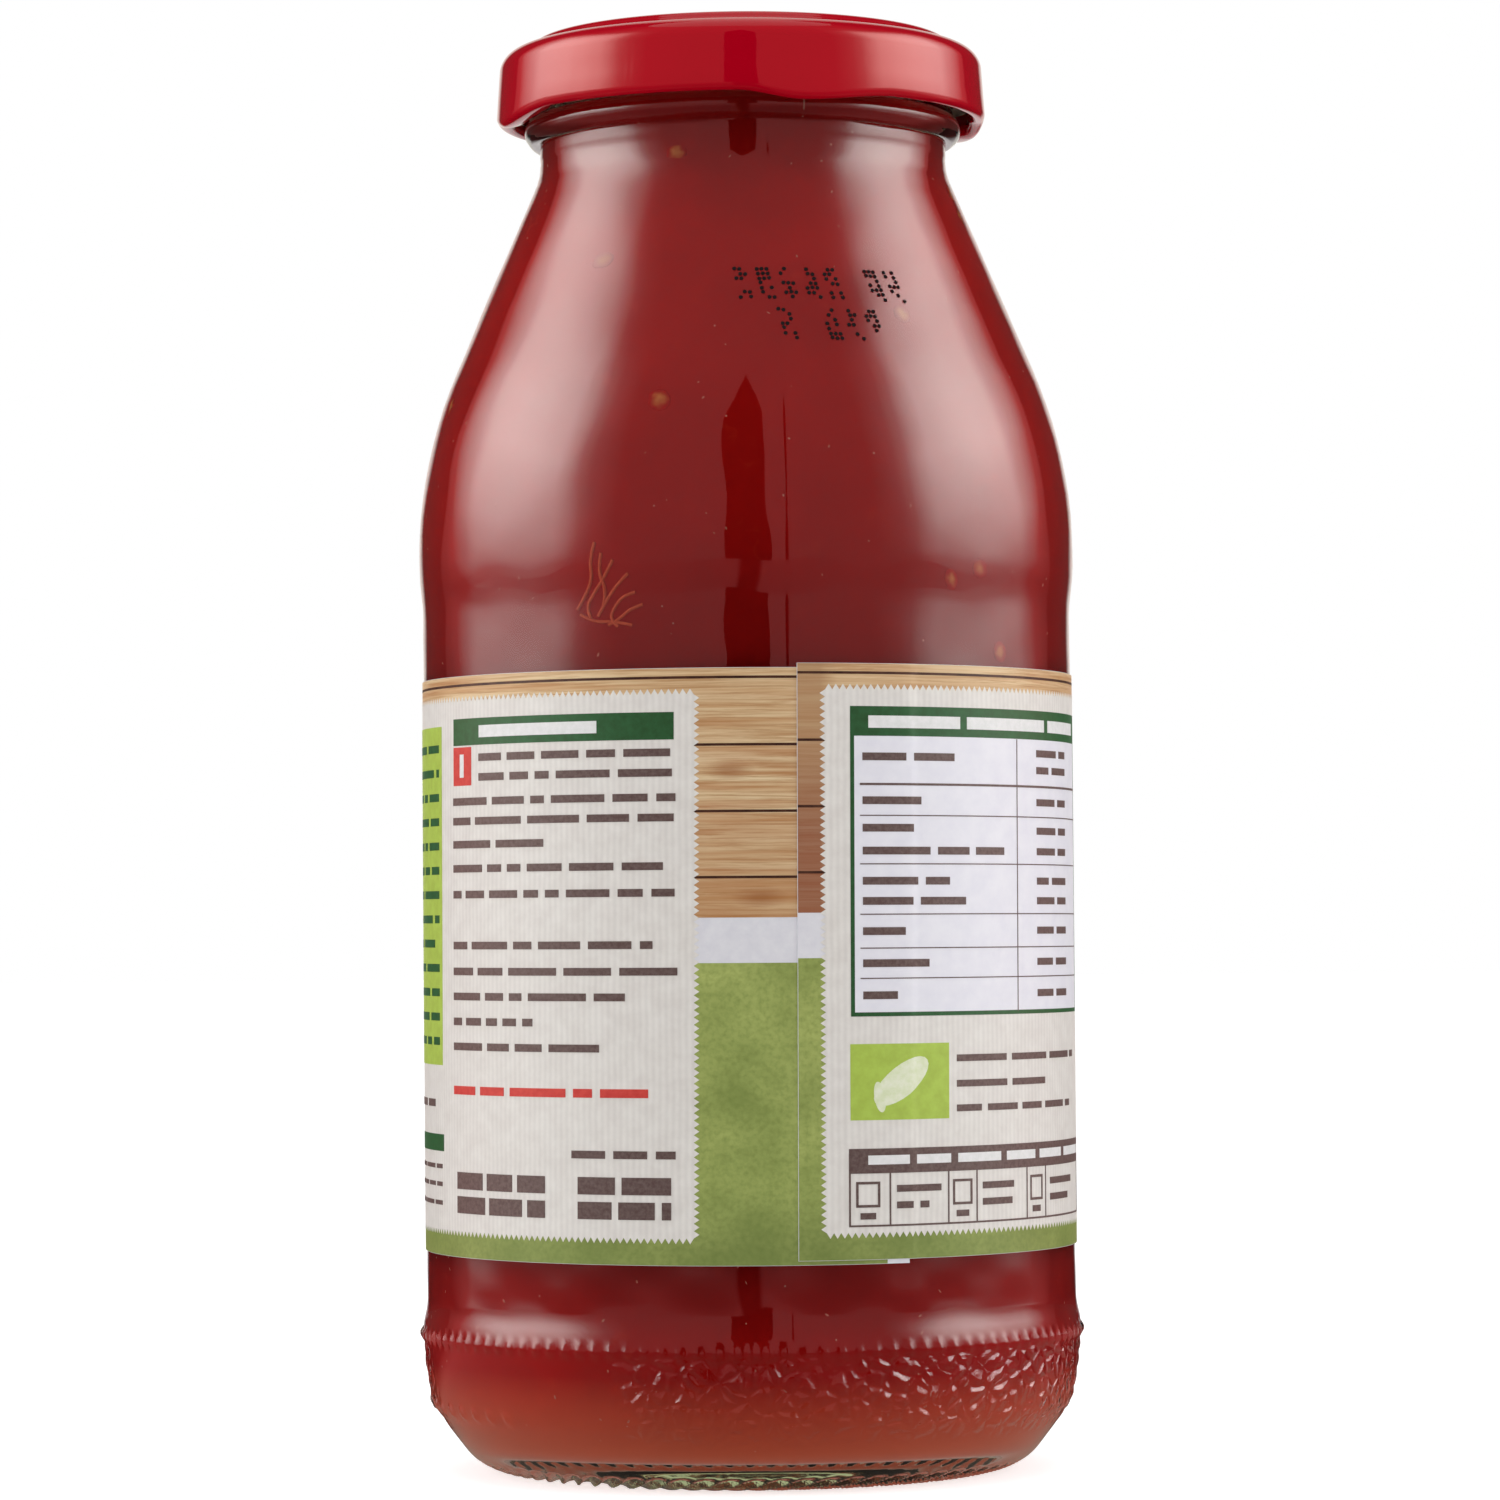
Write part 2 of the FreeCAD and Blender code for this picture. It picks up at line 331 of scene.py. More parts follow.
# %% The jar's measured sizes
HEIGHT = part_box("lid")[1].z / MM
PANEL_RADIUS = 37.33
GLASS_WALL = 2.4
HEEL_RADIUS = PANEL_RADIUS + 0.52
SHOULDER_RADIUS = PANEL_RADIUS + 0.42
NECK_RADIUS = 23.5
FINISH_RADIUS = NECK_RADIUS + 0.9
THREAD_DEPTH = 1.6
THREAD_RADIUS = FINISH_RADIUS + THREAD_DEPTH
BORE_RADIUS = NECK_RADIUS - GLASS_WALL
FOOT_RADIUS = HEEL_RADIUS - 10.35
FOOT_LAND, FOOT_ROUND = 1.6, 7.0
PUSH_UP, PUSH_UP_ROUND = 3.2, 1.5
KNEE_ROUND, KNEE_LEAN = 2.8, 13.5
SIDE_ROUND, SHOULDER_ROUND, NECK_ROUND = 34.0, 53.5, 6.0
BASE_THICKNESS, FLOOR_DOME, INNER_ROUND = 4.0, 2.6, 8.0
BEAD_PROUD, BEAD_ROUND, BEAD_DROP = 0.9, 1.6, 0.75
LIP_ROUND = 1.4
HEEL_TOP = 16.1
PANEL_BOTTOM, PANEL_TOP = 20.0, HEIGHT - 66.9
SHOULDER_BOTTOM, SHOULDER_START = HEIGHT - 60.9, HEIGHT - 59.4
CAP_SHEET = 0.25
RIM = HEIGHT - CAP_SHEET
CAP_BOTTOM = HEIGHT - 9.45
NECK_START = 150.31
print("jar height", round(HEIGHT, 2), "mm, rim at", round(RIM, 2), "mm")


# %% The outside, from under the foot to the rim
def wall_stretches():
    """The side from the heel's step to the neck, shared by both faces of the wall."""
    shoulder = (SHOULDER_RADIUS - SHOULDER_ROUND, SHOULDER_START)
    neck = (NECK_RADIUS + NECK_ROUND, NECK_START)
    slope = shared_facing(shoulder, SHOULDER_ROUND, 1, neck, NECK_ROUND, -1)
    step = step_over((PANEL_RADIUS, PANEL_TOP), (SHOULDER_RADIUS, SHOULDER_BOTTOM), 0)
    return step + [rounding(shoulder, SHOULDER_ROUND, 0, slope),
                   rounding(neck, NECK_ROUND, slope, 0, -1)]


def outside_points():
    ring = (FOOT_RADIUS - FOOT_LAND, PUSH_UP_ROUND)
    under, blend = dome_into(PUSH_UP, ring, PUSH_UP_ROUND)
    side = (HEEL_RADIUS - SIDE_ROUND, HEEL_TOP)
    lean = math.radians(KNEE_LEAN)
    reach = SIDE_ROUND - KNEE_ROUND
    knee = (side[0] + reach * math.cos(lean), side[1] - reach * math.sin(lean))
    foot = (FOOT_RADIUS, FOOT_ROUND)
    flank = shared_facing(foot, FOOT_ROUND, 1, knee, KNEE_ROUND, 1)

    points = trace([under], 4.0) + trace([rounding(ring, PUSH_UP_ROUND, blend, -90)], 0.4)
    points += divided([points[-1], (FOOT_RADIUS, 0.0)], 0.4)
    points += trace([rounding(foot, FOOT_ROUND, -90, flank)], 0.42)
    knee_line = trace([rounding(knee, KNEE_ROUND, flank, -KNEE_LEAN)], 0.6)
    points += divided([points[-1], *knee_line], 0.6)
    points += trace([rounding(side, SIDE_ROUND, -KNEE_LEAN, 0)], 0.42)
    points += trace(step_over((HEEL_RADIUS, HEEL_TOP), (PANEL_RADIUS, PANEL_BOTTOM), 0), 0.7)
    for end, spacing in ((26.0, 2.0), (90.0, 16.0), (PANEL_TOP, 2.0)):
        points += divided([points[-1], (PANEL_RADIUS, end)], spacing)
    return points + divided(trace(wall_stretches(), 2.2), 2.6)


def finish_points():
    """The neck above the slope: parting line, bead, threaded wall and lip."""
    bead = (FINISH_RADIUS + BEAD_PROUD - BEAD_ROUND, CAP_BOTTOM - BEAD_DROP)
    lower = math.degrees(math.acos((NECK_RADIUS - bead[0]) / BEAD_ROUND))
    upper = math.degrees(math.acos((FINISH_RADIUS - bead[0]) / BEAD_ROUND))
    lip = (FINISH_RADIUS - LIP_ROUND, RIM - LIP_ROUND)
    bead_foot = bead[1] - BEAD_ROUND * math.sin(math.radians(lower))
    points = divided([(NECK_RADIUS, NECK_START), (NECK_RADIUS, bead[1] - BEAD_ROUND)], 0.45)[:-1]
    points = [point for point in points if point[1] < bead_foot - 0.1]
    points += trace([rounding(bead, BEAD_ROUND, -lower, upper)], 0.45)
    lip_line = trace([rounding(lip, LIP_ROUND, 0, 90)], 0.5)
    return points + divided([points[-1], *lip_line], 0.62)


def inside_points(reach=0.0):
    """The cavity's line from the floor's middle to the neck, moved out by reach."""
    corner = (PANEL_RADIUS - GLASS_WALL - INNER_ROUND, BASE_THICKNESS + INNER_ROUND)
    floor, blend = dome_into(FLOOR_DOME, corner, INNER_ROUND)
    points = trace([floor], 6.5, -reach)
    points += trace([rounding(corner, INNER_ROUND, blend, 0)], 1.6, -reach)
    return points + trace(wall_stretches(), 7.0, GLASS_WALL - reach)


# %% [markdown]
# ## Spinning an outline
#
# The outline becomes a solid of revolution in the way that a potter would recognise. A plane is
# merged down to one point, the point is extruded from one outline point to the next, and the line
# is spun round the axis. The doubled points at the seam and the poles are merged, and only then
# are the faces turned outward, because a spin can leave a shape inside out.


# %% Spin
WELD, SHARP_FROM = 0.002, 35


def spun(name, outline, segments):
    """A closed solid of revolution from an outline in millimetres."""
    bpy.ops.object.select_all(action="DESELECT")
    bpy.ops.mesh.primitive_plane_add(size=MM)
    piece = bpy.context.object
    piece.name = piece.data.name = name
    bpy.ops.object.mode_set(mode="EDIT")
    bpy.ops.mesh.merge(type="CENTER")
    radius, height = outline[0]
    bpy.ops.transform.translate(value=(radius * MM, 0, height * MM))
    for (r0, z0), (r1, z1) in zip(outline, outline[1:]):
        move = ((r1 - r0) * MM, 0, (z1 - z0) * MM)
        if math.hypot(*move) > 1e-7:
            bpy.ops.mesh.extrude_region_move(TRANSFORM_OT_translate={"value": move})
    bpy.ops.mesh.select_all(action="SELECT")
    bpy.ops.mesh.spin(steps=segments, angle=math.tau, center=(0, 0, 0), axis=(0, 0, 1))
    bpy.ops.mesh.select_all(action="SELECT")
    bpy.ops.mesh.remove_doubles(threshold=WELD * MM)
    bpy.ops.mesh.normals_make_consistent(inside=False)
    bpy.ops.object.mode_set(mode="OBJECT")
    bpy.ops.object.shade_smooth_by_angle(angle=math.radians(SHARP_FROM))
    return piece


KNURLS = 72
JAR_SEGMENTS = KNURLS * 8
outside = outside_points()
lip = (BORE_RADIUS + LIP_ROUND, RIM - LIP_ROUND)
mouth = trace([rounding(lip, LIP_ROUND, 0, -90, -1)], 0.5)
inside = inside_points() + mouth
jar_outline = outside + finish_points() + inside[::-1]
jar = spun("jar_glass_moulded", jar_outline, JAR_SEGMENTS)
print("outline points", len(jar_outline))

# %% [markdown]
# ## What the mould leaves on the glass
#
# A mould marks its jar. The foot is knurled, so that the hot jar cools on points and not on a
# flat ring. The heel is pebbled, which hides scuffs, under a row of small beads, and two stretches
# are left plain, with a row of dots that tell a machine the mould's number. The two halves of the
# mould meet in a fine raised line, and the neck ring leaves another below the bead. Blown glass is
# never quite even either, which is why straight reflections come out wavy. All of this is real
# relief of a few tenths of a millimetre, and the mesh is fine enough to carry it, so each point is
# moved along its normal. The pebbles come last, from a Displace modifier with a cell texture.

# %% Knurls, beads, dots and mould lines
points = points_of(jar)
normals = rows_of(jar, "normal")
radius, height, bearing = round_axis(points)
turn = np.radians(bearing)
around = turn * radius
facing_out = (normals[:, 0] * points[:, 0] + normals[:, 1] * points[:, 1]) / np.maximum(radius, 1)
outer = facing_out > 0.25
push = np.zeros(len(points))

# Knurls: slanting ridges across the foot, cut down from the ring that the jar stands on
KNURL_DEPTH, KNURL_SLANT = 0.85, 2.6
along_foot = np.where(radius > FOOT_RADIUS,
                      FOOT_ROUND * np.arctan2(radius - FOOT_RADIUS, FOOT_ROUND - height),
                      radius - FOOT_RADIUS)
knurl = 0.5 + 0.5 * np.cos(2 * np.pi * (KNURLS * bearing / 360 - along_foot / KNURL_SLANT))
on_foot = ((height < 5.0) & (normals[:, 2] < 0.2)) * smooth_step(-2.2, -1.2, along_foot)
on_foot = on_foot * (1 - smooth_step(3.4, 5.0, along_foot))
push -= KNURL_DEPTH * on_foot * (1 - knurl ** 1.2)

# The pushed-up bottom is never smooth: shallow rings and ripples from the cooled mould plate.
# Each ripple has a height, how closely its rings lie, and how often it repeats round the jar.
RIPPLES = ((0.10, 1.9, 0), (0.07, 4.1, 3), (0.06, 1.0, 9))
under = (normals[:, 2] < -0.5) * (1 - smooth_step(FOOT_RADIUS - 3.5, FOOT_RADIUS - 2.0, radius))
push += under * sum(high * np.sin(radius * rings + times * turn) for high, rings, times in RIPPLES)

# Beads: a row of small pyramids along the top of the heel band
BEADS, BEADS_HEIGHT, BEADS_PROUD, BEADS_REACH = 120, 15.9, 0.5, 0.8
bead_row = np.clip(np.cos(BEADS * turn), 0, 1) * np.clip(
    1 - np.abs(height - BEADS_HEIGHT) / BEADS_REACH, 0, 1)
push += BEADS_PROUD * outer * bead_row * (height < PANEL_BOTTOM)

# Dots: raised domes low on the plain stretches
CODE_STARTS, CODE_DOTS, CODE_PITCH = (-86.0, 94.0), 9, 4.8
CODE_HEIGHT, CODE_RADIUS, CODE_DOT, CODE_PROUD = 8.0, 36.9, 0.75, 0.3
for first in CODE_STARTS:
    for dot in range(CODE_DOTS):
        apart = turned_from(first + CODE_PITCH * dot, bearing)
        away = np.hypot(np.radians(apart) * CODE_RADIUS, height - CODE_HEIGHT)
        push += CODE_PROUD * outer * np.clip(1 - (away / CODE_DOT) ** 2, 0, 1)

# Mould lines: where the halves meet, and where the neck ring sits on them
MOULD_LINE, LINE_PROUD, LINE_WIDTH = 7.5, 0.07, 0.22
for line in (MOULD_LINE, MOULD_LINE - 180):
    apart = np.radians(turned_from(line, bearing)) * radius
    push += LINE_PROUD * outer * np.exp(-(apart / LINE_WIDTH) ** 2) * (height > 4) * (height < 150)
parting = NECK_START + 0.35 + 0.12 * np.sin(np.radians(bearing * 3))
push -= LINE_PROUD * outer * np.exp(-((height - parting) / LINE_WIDTH) ** 2)

# Threads: four short sloping ridges under the cap
LUGS, LUG_BEARING, THREAD_LEAD = 4, 23.0, 12.0
THREAD_HEIGHT, THREAD_SLOPE, THREAD_HALF = 158.0, 0.052, 0.95
for lug in range(LUGS):
    apart = turned_from(LUG_BEARING + THREAD_LEAD + 90 * lug, bearing)
    middle = THREAD_HEIGHT + THREAD_SLOPE * np.radians(apart) * THREAD_RADIUS
    ridge = np.sqrt(np.clip(1 - ((height - middle) / THREAD_HALF) ** 2, 0, 1))
    tapered = 1 - smooth_step(14, 28, np.abs(apart))
    push += THREAD_DEPTH * outer * ridge * tapered * (height > 155.5)

# Blown glass: long shallow waves, each with its height, its length round the jar, how it climbs,
# and where it starts
WAVES = ((0.020, 2.9, 0.35, 1.0), (0.016, 2.1, -0.62, 0.0), (0.030, 5.0, 0.11, 2.0),
         (0.010, 1.6, 1.3, 0.0))
waves = sum(high * np.sin(around / long + climb * height + start)
            for high, long, climb, start in WAVES)
push += outer * waves * smooth_step(4, 18, height) * (1 - smooth_step(146, 151, height))

move_points(jar, points + normals * push[:, None])
print("relief from", round(push.min(), 2), "to", round(push.max(), 2), "mm")

# %% Pebbled heel
PEBBLE, PEBBLE_PROUD = 1.9, 0.6
plain = (bearing - MOULD_LINE) % 180
pebbled = 1 - smooth_step(92, 102, plain) * (1 - smooth_step(146, 154, plain))
pebbled = pebbled * outer * smooth_step(5.0, 7.0, height) * (1 - smooth_step(14.6, 15.4, height))
heel = jar.vertex_groups.new(name="heel")
for level in range(1, 11):
    chosen = np.nonzero(np.round(pebbled * 10) == level)[0].tolist()
    heel.add(chosen, level / 10, "REPLACE")

cells = bpy.data.textures.new("pebble_cells", "VORONOI")
cells.noise_scale = PEBBLE * MM
cells.weight_1, cells.weight_2 = -1.0, 1.0
cells.noise_intensity = 1.0
pick(jar)
modify(jar, "pebbles", "DISPLACE", texture=cells, texture_coords="LOCAL", vertex_group="heel",
       mid_level=0.35, strength=PEBBLE_PROUD * MM)
jar.vertex_groups.clear()
pebble_mask = jar.data.attributes.new("pebbled", "FLOAT", "POINT")
pebble_mask.data.foreach_set("value", pebbled.astype(np.float32))
print("pebbled points:", int((pebbled > 0.5).sum()))

# %% [markdown]
# ## Soda-lime glass
#
# Jar glass is soda-lime glass, and its trace of iron makes it faintly green where it is thick, as
# at the foot. The Principled shader with full transmission gives both the reflection and the
# bending of light. A very weak noise bump stands for the fine orange skin of moulded glass, and a
# thin absorbing volume gives the green. The pebbles of the heel have crisp rims, finer than the
# mesh, so a cell pattern's edges are added to the bump there, inside the mask that was kept on the
# mesh. Light that only passes through on its way to the pulp skips the bending, because a renderer
# can't find its way to a lamp through bent light.

# %% Glass finish
glass, glass_out = new_finish("soda_lime_glass")
where = own_place(glass)
skin_bump = bump(glass, noise(glass, where, 1 / (6 * MM)), 0.03, 0.1)
bent = noise(glass, where, 1 / (2.5 * MM), 1.0, "Color")
cells_edge = add(glass, "TexVoronoi", {"Vector": mixed(glass, 0.0012, where, bent),
                                       "Scale": 1 / (2.0 * MM)}, feature="DISTANCE_TO_EDGE")
crisp = remap(glass, cells_edge.outputs["Distance"], 0.0, 0.34, how="SMOOTHSTEP")
heel_mask = add(glass, "Attribute", attribute_name="pebbled").outputs["Fac"]
heel_bump = bump(glass, worked_out(glass, "MULTIPLY", crisp, heel_mask), 1.0, 0.26,
                 Normal=skin_bump)
glass_body = add(glass, "BsdfPrincipled", {
    "Base Color": linear("fbfdfb"), "Roughness": 0.015, "IOR": 1.52, "Transmission Weight": 1.0,
    "Normal": heel_bump})
passing = add(glass, "BsdfTransparent", {"Color": linear("f4f7f4")})
finished(glass, glass_out, add(glass, "MixShader", {
    "Fac": add(glass, "LightPath").outputs["Is Shadow Ray"], 1: glass_body.outputs["BSDF"],
    2: passing.outputs["BSDF"]}))
iron = add(glass, "VolumeAbsorption", {"Color": linear("c6d6a6"), "Density": 30.0})
finished(glass, glass_out, iron, "Volume")
hand_over(jar, glass, "clear_glass", "jar_glass")

# %% [markdown]
# ## The pulp
#
# The filling is chopped tomato in its own juice, pressed against the glass with no air between.
# If the pulp stopped exactly at the wall, a thin silvery gap would show, so its outline is the
# cavity's own line moved a tenth of a millimetre into the wall. Its level is hidden by the cap,
# and it still gets the small rim that a wet filling pulls up at the glass.

# %% Pulp body
REACH, PULP_SEGMENTS = 0.12, 240
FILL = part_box("tomato_pulp")[1].z / MM
pulp_wall = inside_points(REACH)
level = [(BORE_RADIUS + REACH, FILL - 0.3), (BORE_RADIUS + REACH, FILL + 0.35),
         (BORE_RADIUS - 0.2, FILL + 0.05), (BORE_RADIUS - 1.0, FILL - 0.2),
         (BORE_RADIUS - 3.0, FILL - 0.25), (9.0, FILL - 0.15), (0.0, FILL - 0.2)]
pulp = spun("tomato_pulp_filling", divided(pulp_wall, 4.0) + level, PULP_SEGMENTS)
print("pulp level at", round(FILL, 2), "mm")

# %% [markdown]
# Ripe tomato is one of the purest reds in a kitchen: almost no green or blue comes back from it.
# What keeps it from looking like paint is uneven depth. Coarse noise darkens and lightens it like
# pieces of flesh near and far from the glass, a finer one adds shreds, and tiny pale flecks come
# from the cells of a Voronoi pattern that is cut off just round each cell's middle. Light soaks
# into the pulp and spreads, and that is painted into its colour by height: painted shade beside
# the label, which keeps light out, and under the cap, painted light on the shoulder, and the most
# painted light towards the foot, where a painted orange glow stands for the light coming up
# through the clear foot. Seen at a shallow angle, the wet face against the glass turns light back
# completely, because glass bends light more than pulp does: a Fresnel node with the ratio of their
# two indices makes it a mirror there. That is why a thick foot looks clear.

# %% Tomato finish
tomato, tomato_out = new_finish("tomato_pulp_flesh")
where = own_place(tomato)
flesh = noise(tomato, where, 1 / (14 * MM), 5.0, Roughness=0.55)
flesh_red = mixed(tomato, remap(tomato, flesh, 0.3, 0.72), linear("a80604"), linear("ba0906"))
shreds = noise(tomato, where, 1 / (2.2 * MM), 3.0, Distortion=1.2)
shredded = mixed(tomato, remap(tomato, shreds, 0.62, 0.8, high=0.35), flesh_red, linear("cc2a14"))
cell = add(tomato, "TexVoronoi", {"Vector": where, "Scale": 1 / (3.4 * MM)})
fleck = remap(tomato, cell.outputs["Distance"], 0.045, 0.02, high=0.6)
flecked = mixed(tomato, fleck, shredded, linear("e0a090"))

up = axis_of(tomato, where, "Z")
# Painted light and shade by height: darker beside the label and under the cap, lighter on the
# shoulder and brightest at the foot.
light_by_height = ramp_of(tomato, worked_out(tomato, "DIVIDE", up, HEIGHT * MM), (
    (0.0, 1.0), (6.0, 1.0), (13.0, 0.72), (24.0, 0.52), (90.0, 0.5), (97.0, 0.58),
    (108.0, 0.72), (140.0, 0.82), (146.0, 0.78), (152.0, 0.6), (158.0, 0.56)), HEIGHT)
lit_flesh = mixed(tomato, 1.0, flecked, light_by_height, "MULTIPLY")
# Painted light from below: towards the foot the flesh turns a brighter orange, for the light coming
# up through the clear foot.
foot_light_share = remap(tomato, up, 13 * MM, 3.5 * MM, high=0.85)
foot_lit_flesh = mixed(tomato, foot_light_share, lit_flesh, linear("c65e40"))

PULP_IOR, GLASS_IOR = 1.35, 1.52
turned_back = add(tomato, "Fresnel", {"IOR": PULP_IOR / GLASS_IOR}).outputs["Fac"]
flesh_or_mirror = mixed(tomato, turned_back, foot_lit_flesh, (1.0, 1.0, 1.0, 1.0))
coat(tomato, tomato_out, flesh_or_mirror, remap(tomato, turned_back, 0, 1, 0.4, 0.04),
     {"Metallic": turned_back, "Specular IOR Level": 0.0})
hand_over(pulp, tomato, "tomato_pulp", "tomato_pulp")

# %% [markdown]
# ## Seeds, flecks and fibres
#
# Bits that lie right against the glass are what says "pulp" and not "sauce". Yellow seed lumps and
# pale flecks are small flattened balls, a few dozen faces each, pressed into the wall of pulp so
# that each stands a little proud of it. Stringy fibres are curves with a round section, laid along
# the wall and turned into mesh. The wall's radius at any height is read off the outline above.

# %% Where the wall of pulp is
wall_radii, wall_heights = zip(*pulp_wall[4:])


def pulp_radius(at_height):
    return float(np.interp(at_height, wall_heights, wall_radii))


def wall_tilt(at_height):
    """How far the wall leans back from upright at a height, in degrees."""
    change = pulp_radius(at_height + 0.5) - pulp_radius(at_height - 0.5)
    return math.degrees(math.atan(-change))


def scatter_lumps(name, lumps):
    """Flattened balls pressed into the wall: bearing, height, width, length and turn."""
    bpy.ops.object.select_all(action="DESELECT")
    bpy.ops.mesh.primitive_ico_sphere_add(subdivisions=2, radius=0.5)
    pattern = bpy.context.object
    rim = pattern.data.attributes.new("rim", "FLOAT", "POINT")
    for point, from_middle in zip(pattern.data.vertices, rim.data):
        from_middle.value = 2 * math.hypot(point.co.x, point.co.y)
    copies = []
    for bearing_at, height_at, wide, long, turn in lumps:
        lump = added(name, pattern.data.copy())
        lean = Matrix.Rotation(math.radians(bearing_at), 4, "Z") @ Matrix.Rotation(
            math.radians(90 - wall_tilt(height_at)), 4, "X")
        size = Matrix.Diagonal((wide * MM, long * MM, min(wide, 0.5) * 0.4 * MM, 1))
        place = at_bearing(bearing_at, pulp_radius(height_at) - 0.02, height_at)
        lump.data.transform(Matrix.Translation(place) @ lean @ Matrix.Rotation(
            math.radians(turn), 4, "Z") @ size)
        copies.append(lump)
    bpy.data.objects.remove(pattern)
    pick(*copies)
    bpy.ops.object.join()
    joined = bpy.context.object
    joined.name = joined.data.name = name
    bpy.ops.object.shade_smooth()
    return joined


# %% Seeds and flecks
FAR_SEEDS, FLECKS = 34, 280
SEED_SIZES, FLECK_WIDTHS, FLECK_LENGTHS = (1.6, 2.8), (0.14, 0.28), (0.2, 0.6)
FLECK_BANDS = ((6, 27), (88, 150), (88, 150))
chance = random.Random(11)
seeds = [(-35.1, 136.4, 2.9, 2.1, 10), (-16.0, 119.9, 2.5, 2.8, 40), (35.6, 129.9, 2.2, 2.5, 0),
         (38.8, 100.5, 1.8, 2.7, 20), (45.5, 101.8, 2.4, 2.1, -20), (-19.5, 148.9, 2.4, 2.7, 0),
         (51.3, 92.6, 2.2, 2.6, 15)]
seeds += [(chance.uniform(70, 290), chance.uniform(12, 148), chance.uniform(*SEED_SIZES),
           chance.uniform(*SEED_SIZES), chance.uniform(0, 90)) for seed in range(FAR_SEEDS)]
flecks = [(chance.uniform(-180, 180), chance.choice([chance.uniform(*band) for band in FLECK_BANDS]),
           chance.uniform(*FLECK_WIDTHS), chance.uniform(*FLECK_LENGTHS), chance.uniform(-60, 60))
          for fleck in range(FLECKS)]
seed_lumps = scatter_lumps("pulp_seeds", seeds)
fleck_lumps = scatter_lumps("pulp_flecks", flecks)
print(len(seeds), "seeds and", len(flecks), "flecks")

# %% Fibres
FIBRE_THICK = 0.2
BUNDLES, STRANDS_EACH, STEPS_EACH = 14, 3, 5
strands = [
    [(-27.3, 104.6), (-28.3, 102.6), (-27.9, 100.8), (-29.4, 98.8), (-31.2, 97.2)],
    [(-23.8, 102.6), (-25.6, 100.7), (-27.8, 99.0), (-29.4, 97.4), (-28.4, 96.2)],
    [(-21.0, 101.1), (-23.2, 99.9), (-25.4, 98.1), (-27.0, 96.4)],
    [(-19.8, 99.0), (-21.9, 98.7), (-23.7, 97.5), (-24.8, 96.0), (-23.1, 95.2)],
    [(-30.6, 96.7), (-27.6, 95.7), (-24.1, 95.9), (-20.4, 95.3)],
    [(-26.0, 103.4), (-26.8, 101.4), (-25.2, 99.4), (-25.9, 97.6)],
    [(-18.4, 97.6), (-20.8, 97.2), (-22.6, 96.1), (-25.0, 95.4)]]
for bundle in range(BUNDLES):
    turn, rise = chance.uniform(75, 285), chance.uniform(92, 140)
    for strand in range(STRANDS_EACH):
        heading = chance.uniform(0, math.tau)
        line = [(turn, rise)]
        for step in range(STEPS_EACH):
            heading += chance.uniform(-0.8, 0.8)
            line.append((line[-1][0] + 1.6 * math.cos(heading),
                         line[-1][1] + 1.1 * math.sin(heading)))
        strands.append(line)

strand_curve = bpy.data.curves.new("pulp_fibres", "CURVE")
strand_curve.dimensions = "3D"
strand_curve.bevel_depth = FIBRE_THICK * MM
strand_curve.bevel_resolution = 1
strand_curve.resolution_u = 4
for line in strands:
    spline = strand_curve.splines.new("NURBS")
    spline.points.add(len(line) - 1)
    for knot, (turn, rise) in zip(spline.points, line):
        knot.co = (*at_bearing(turn, pulp_radius(rise), rise), 1.0)
    spline.order_u = 3
    spline.use_endpoint_u = True
pick(added("pulp_fibres", strand_curve))
bpy.ops.object.convert(target="MESH")
fibres = bpy.context.object
bpy.ops.object.shade_smooth()
print(len(strands), "fibres")

# %% [markdown]
# Seeds and fibres lie behind the glass and in the juice, so their colours are stained by it: the
# seeds are amber rather than cream, the fibres a dull orange, and the flecks a pale pink. A little
# noise keeps each from being one flat tone. A seed sits in its jelly, so it has no sharp edge: a
# value kept on its points, 0 in the middle and 1 at the rim, fades it into the red round it.


# %% Seed, fibre and fleck finishes
def stained(name, pale, deep, grain, rim_colour=None):
    """A wet solid bit whose colour wanders between two tones, and may fade out at its rim."""
    finish, out = new_finish(name)
    wander = noise(finish, own_place(finish), 1 / (grain * MM))
    tone = mixed(finish, wander, linear(pale), linear(deep))
    if rim_colour:
        rim = add(finish, "Attribute", attribute_name="rim").outputs["Fac"]
        fading = remap(finish, worked_out(finish, "MULTIPLY_ADD", wander, 0.9, rim), 0.6, 1.35,
                       how="SMOOTHSTEP")
        tone = mixed(finish, fading, tone, linear(rim_colour))
    coat(finish, out, tone, 0.5, {"Specular IOR Level": 0.0})
    return finish


for bits, finish in (
        (seed_lumps, stained("tomato_seed", "c97a40", "a04024", 0.9, rim_colour="a00805")),
        (fleck_lumps, stained("tomato_skin_fleck", "c97f70", "94382a", 0.8)),
        (fibres, stained("tomato_fibre", "cc5c40", "a8381f", 0.9))):
    hand_over(bits, finish, "tomato_pulp")

# %% [markdown]
# ## The cap
#
# A lug cap is drawn from one disc of tinplate: a raised crown ring, a panel with a vacuum button,
# a short skirt, and a curl that is rolled inward. At four places the curl is pressed in further,
# and those are the lugs that grip the threads. The press also pulls the skirt's lower edge down a
# little there. So the cap is spun like the jar, from its sheet's two faces, and the lugs and the
# jaws' marks are pressed into the mesh afterwards.

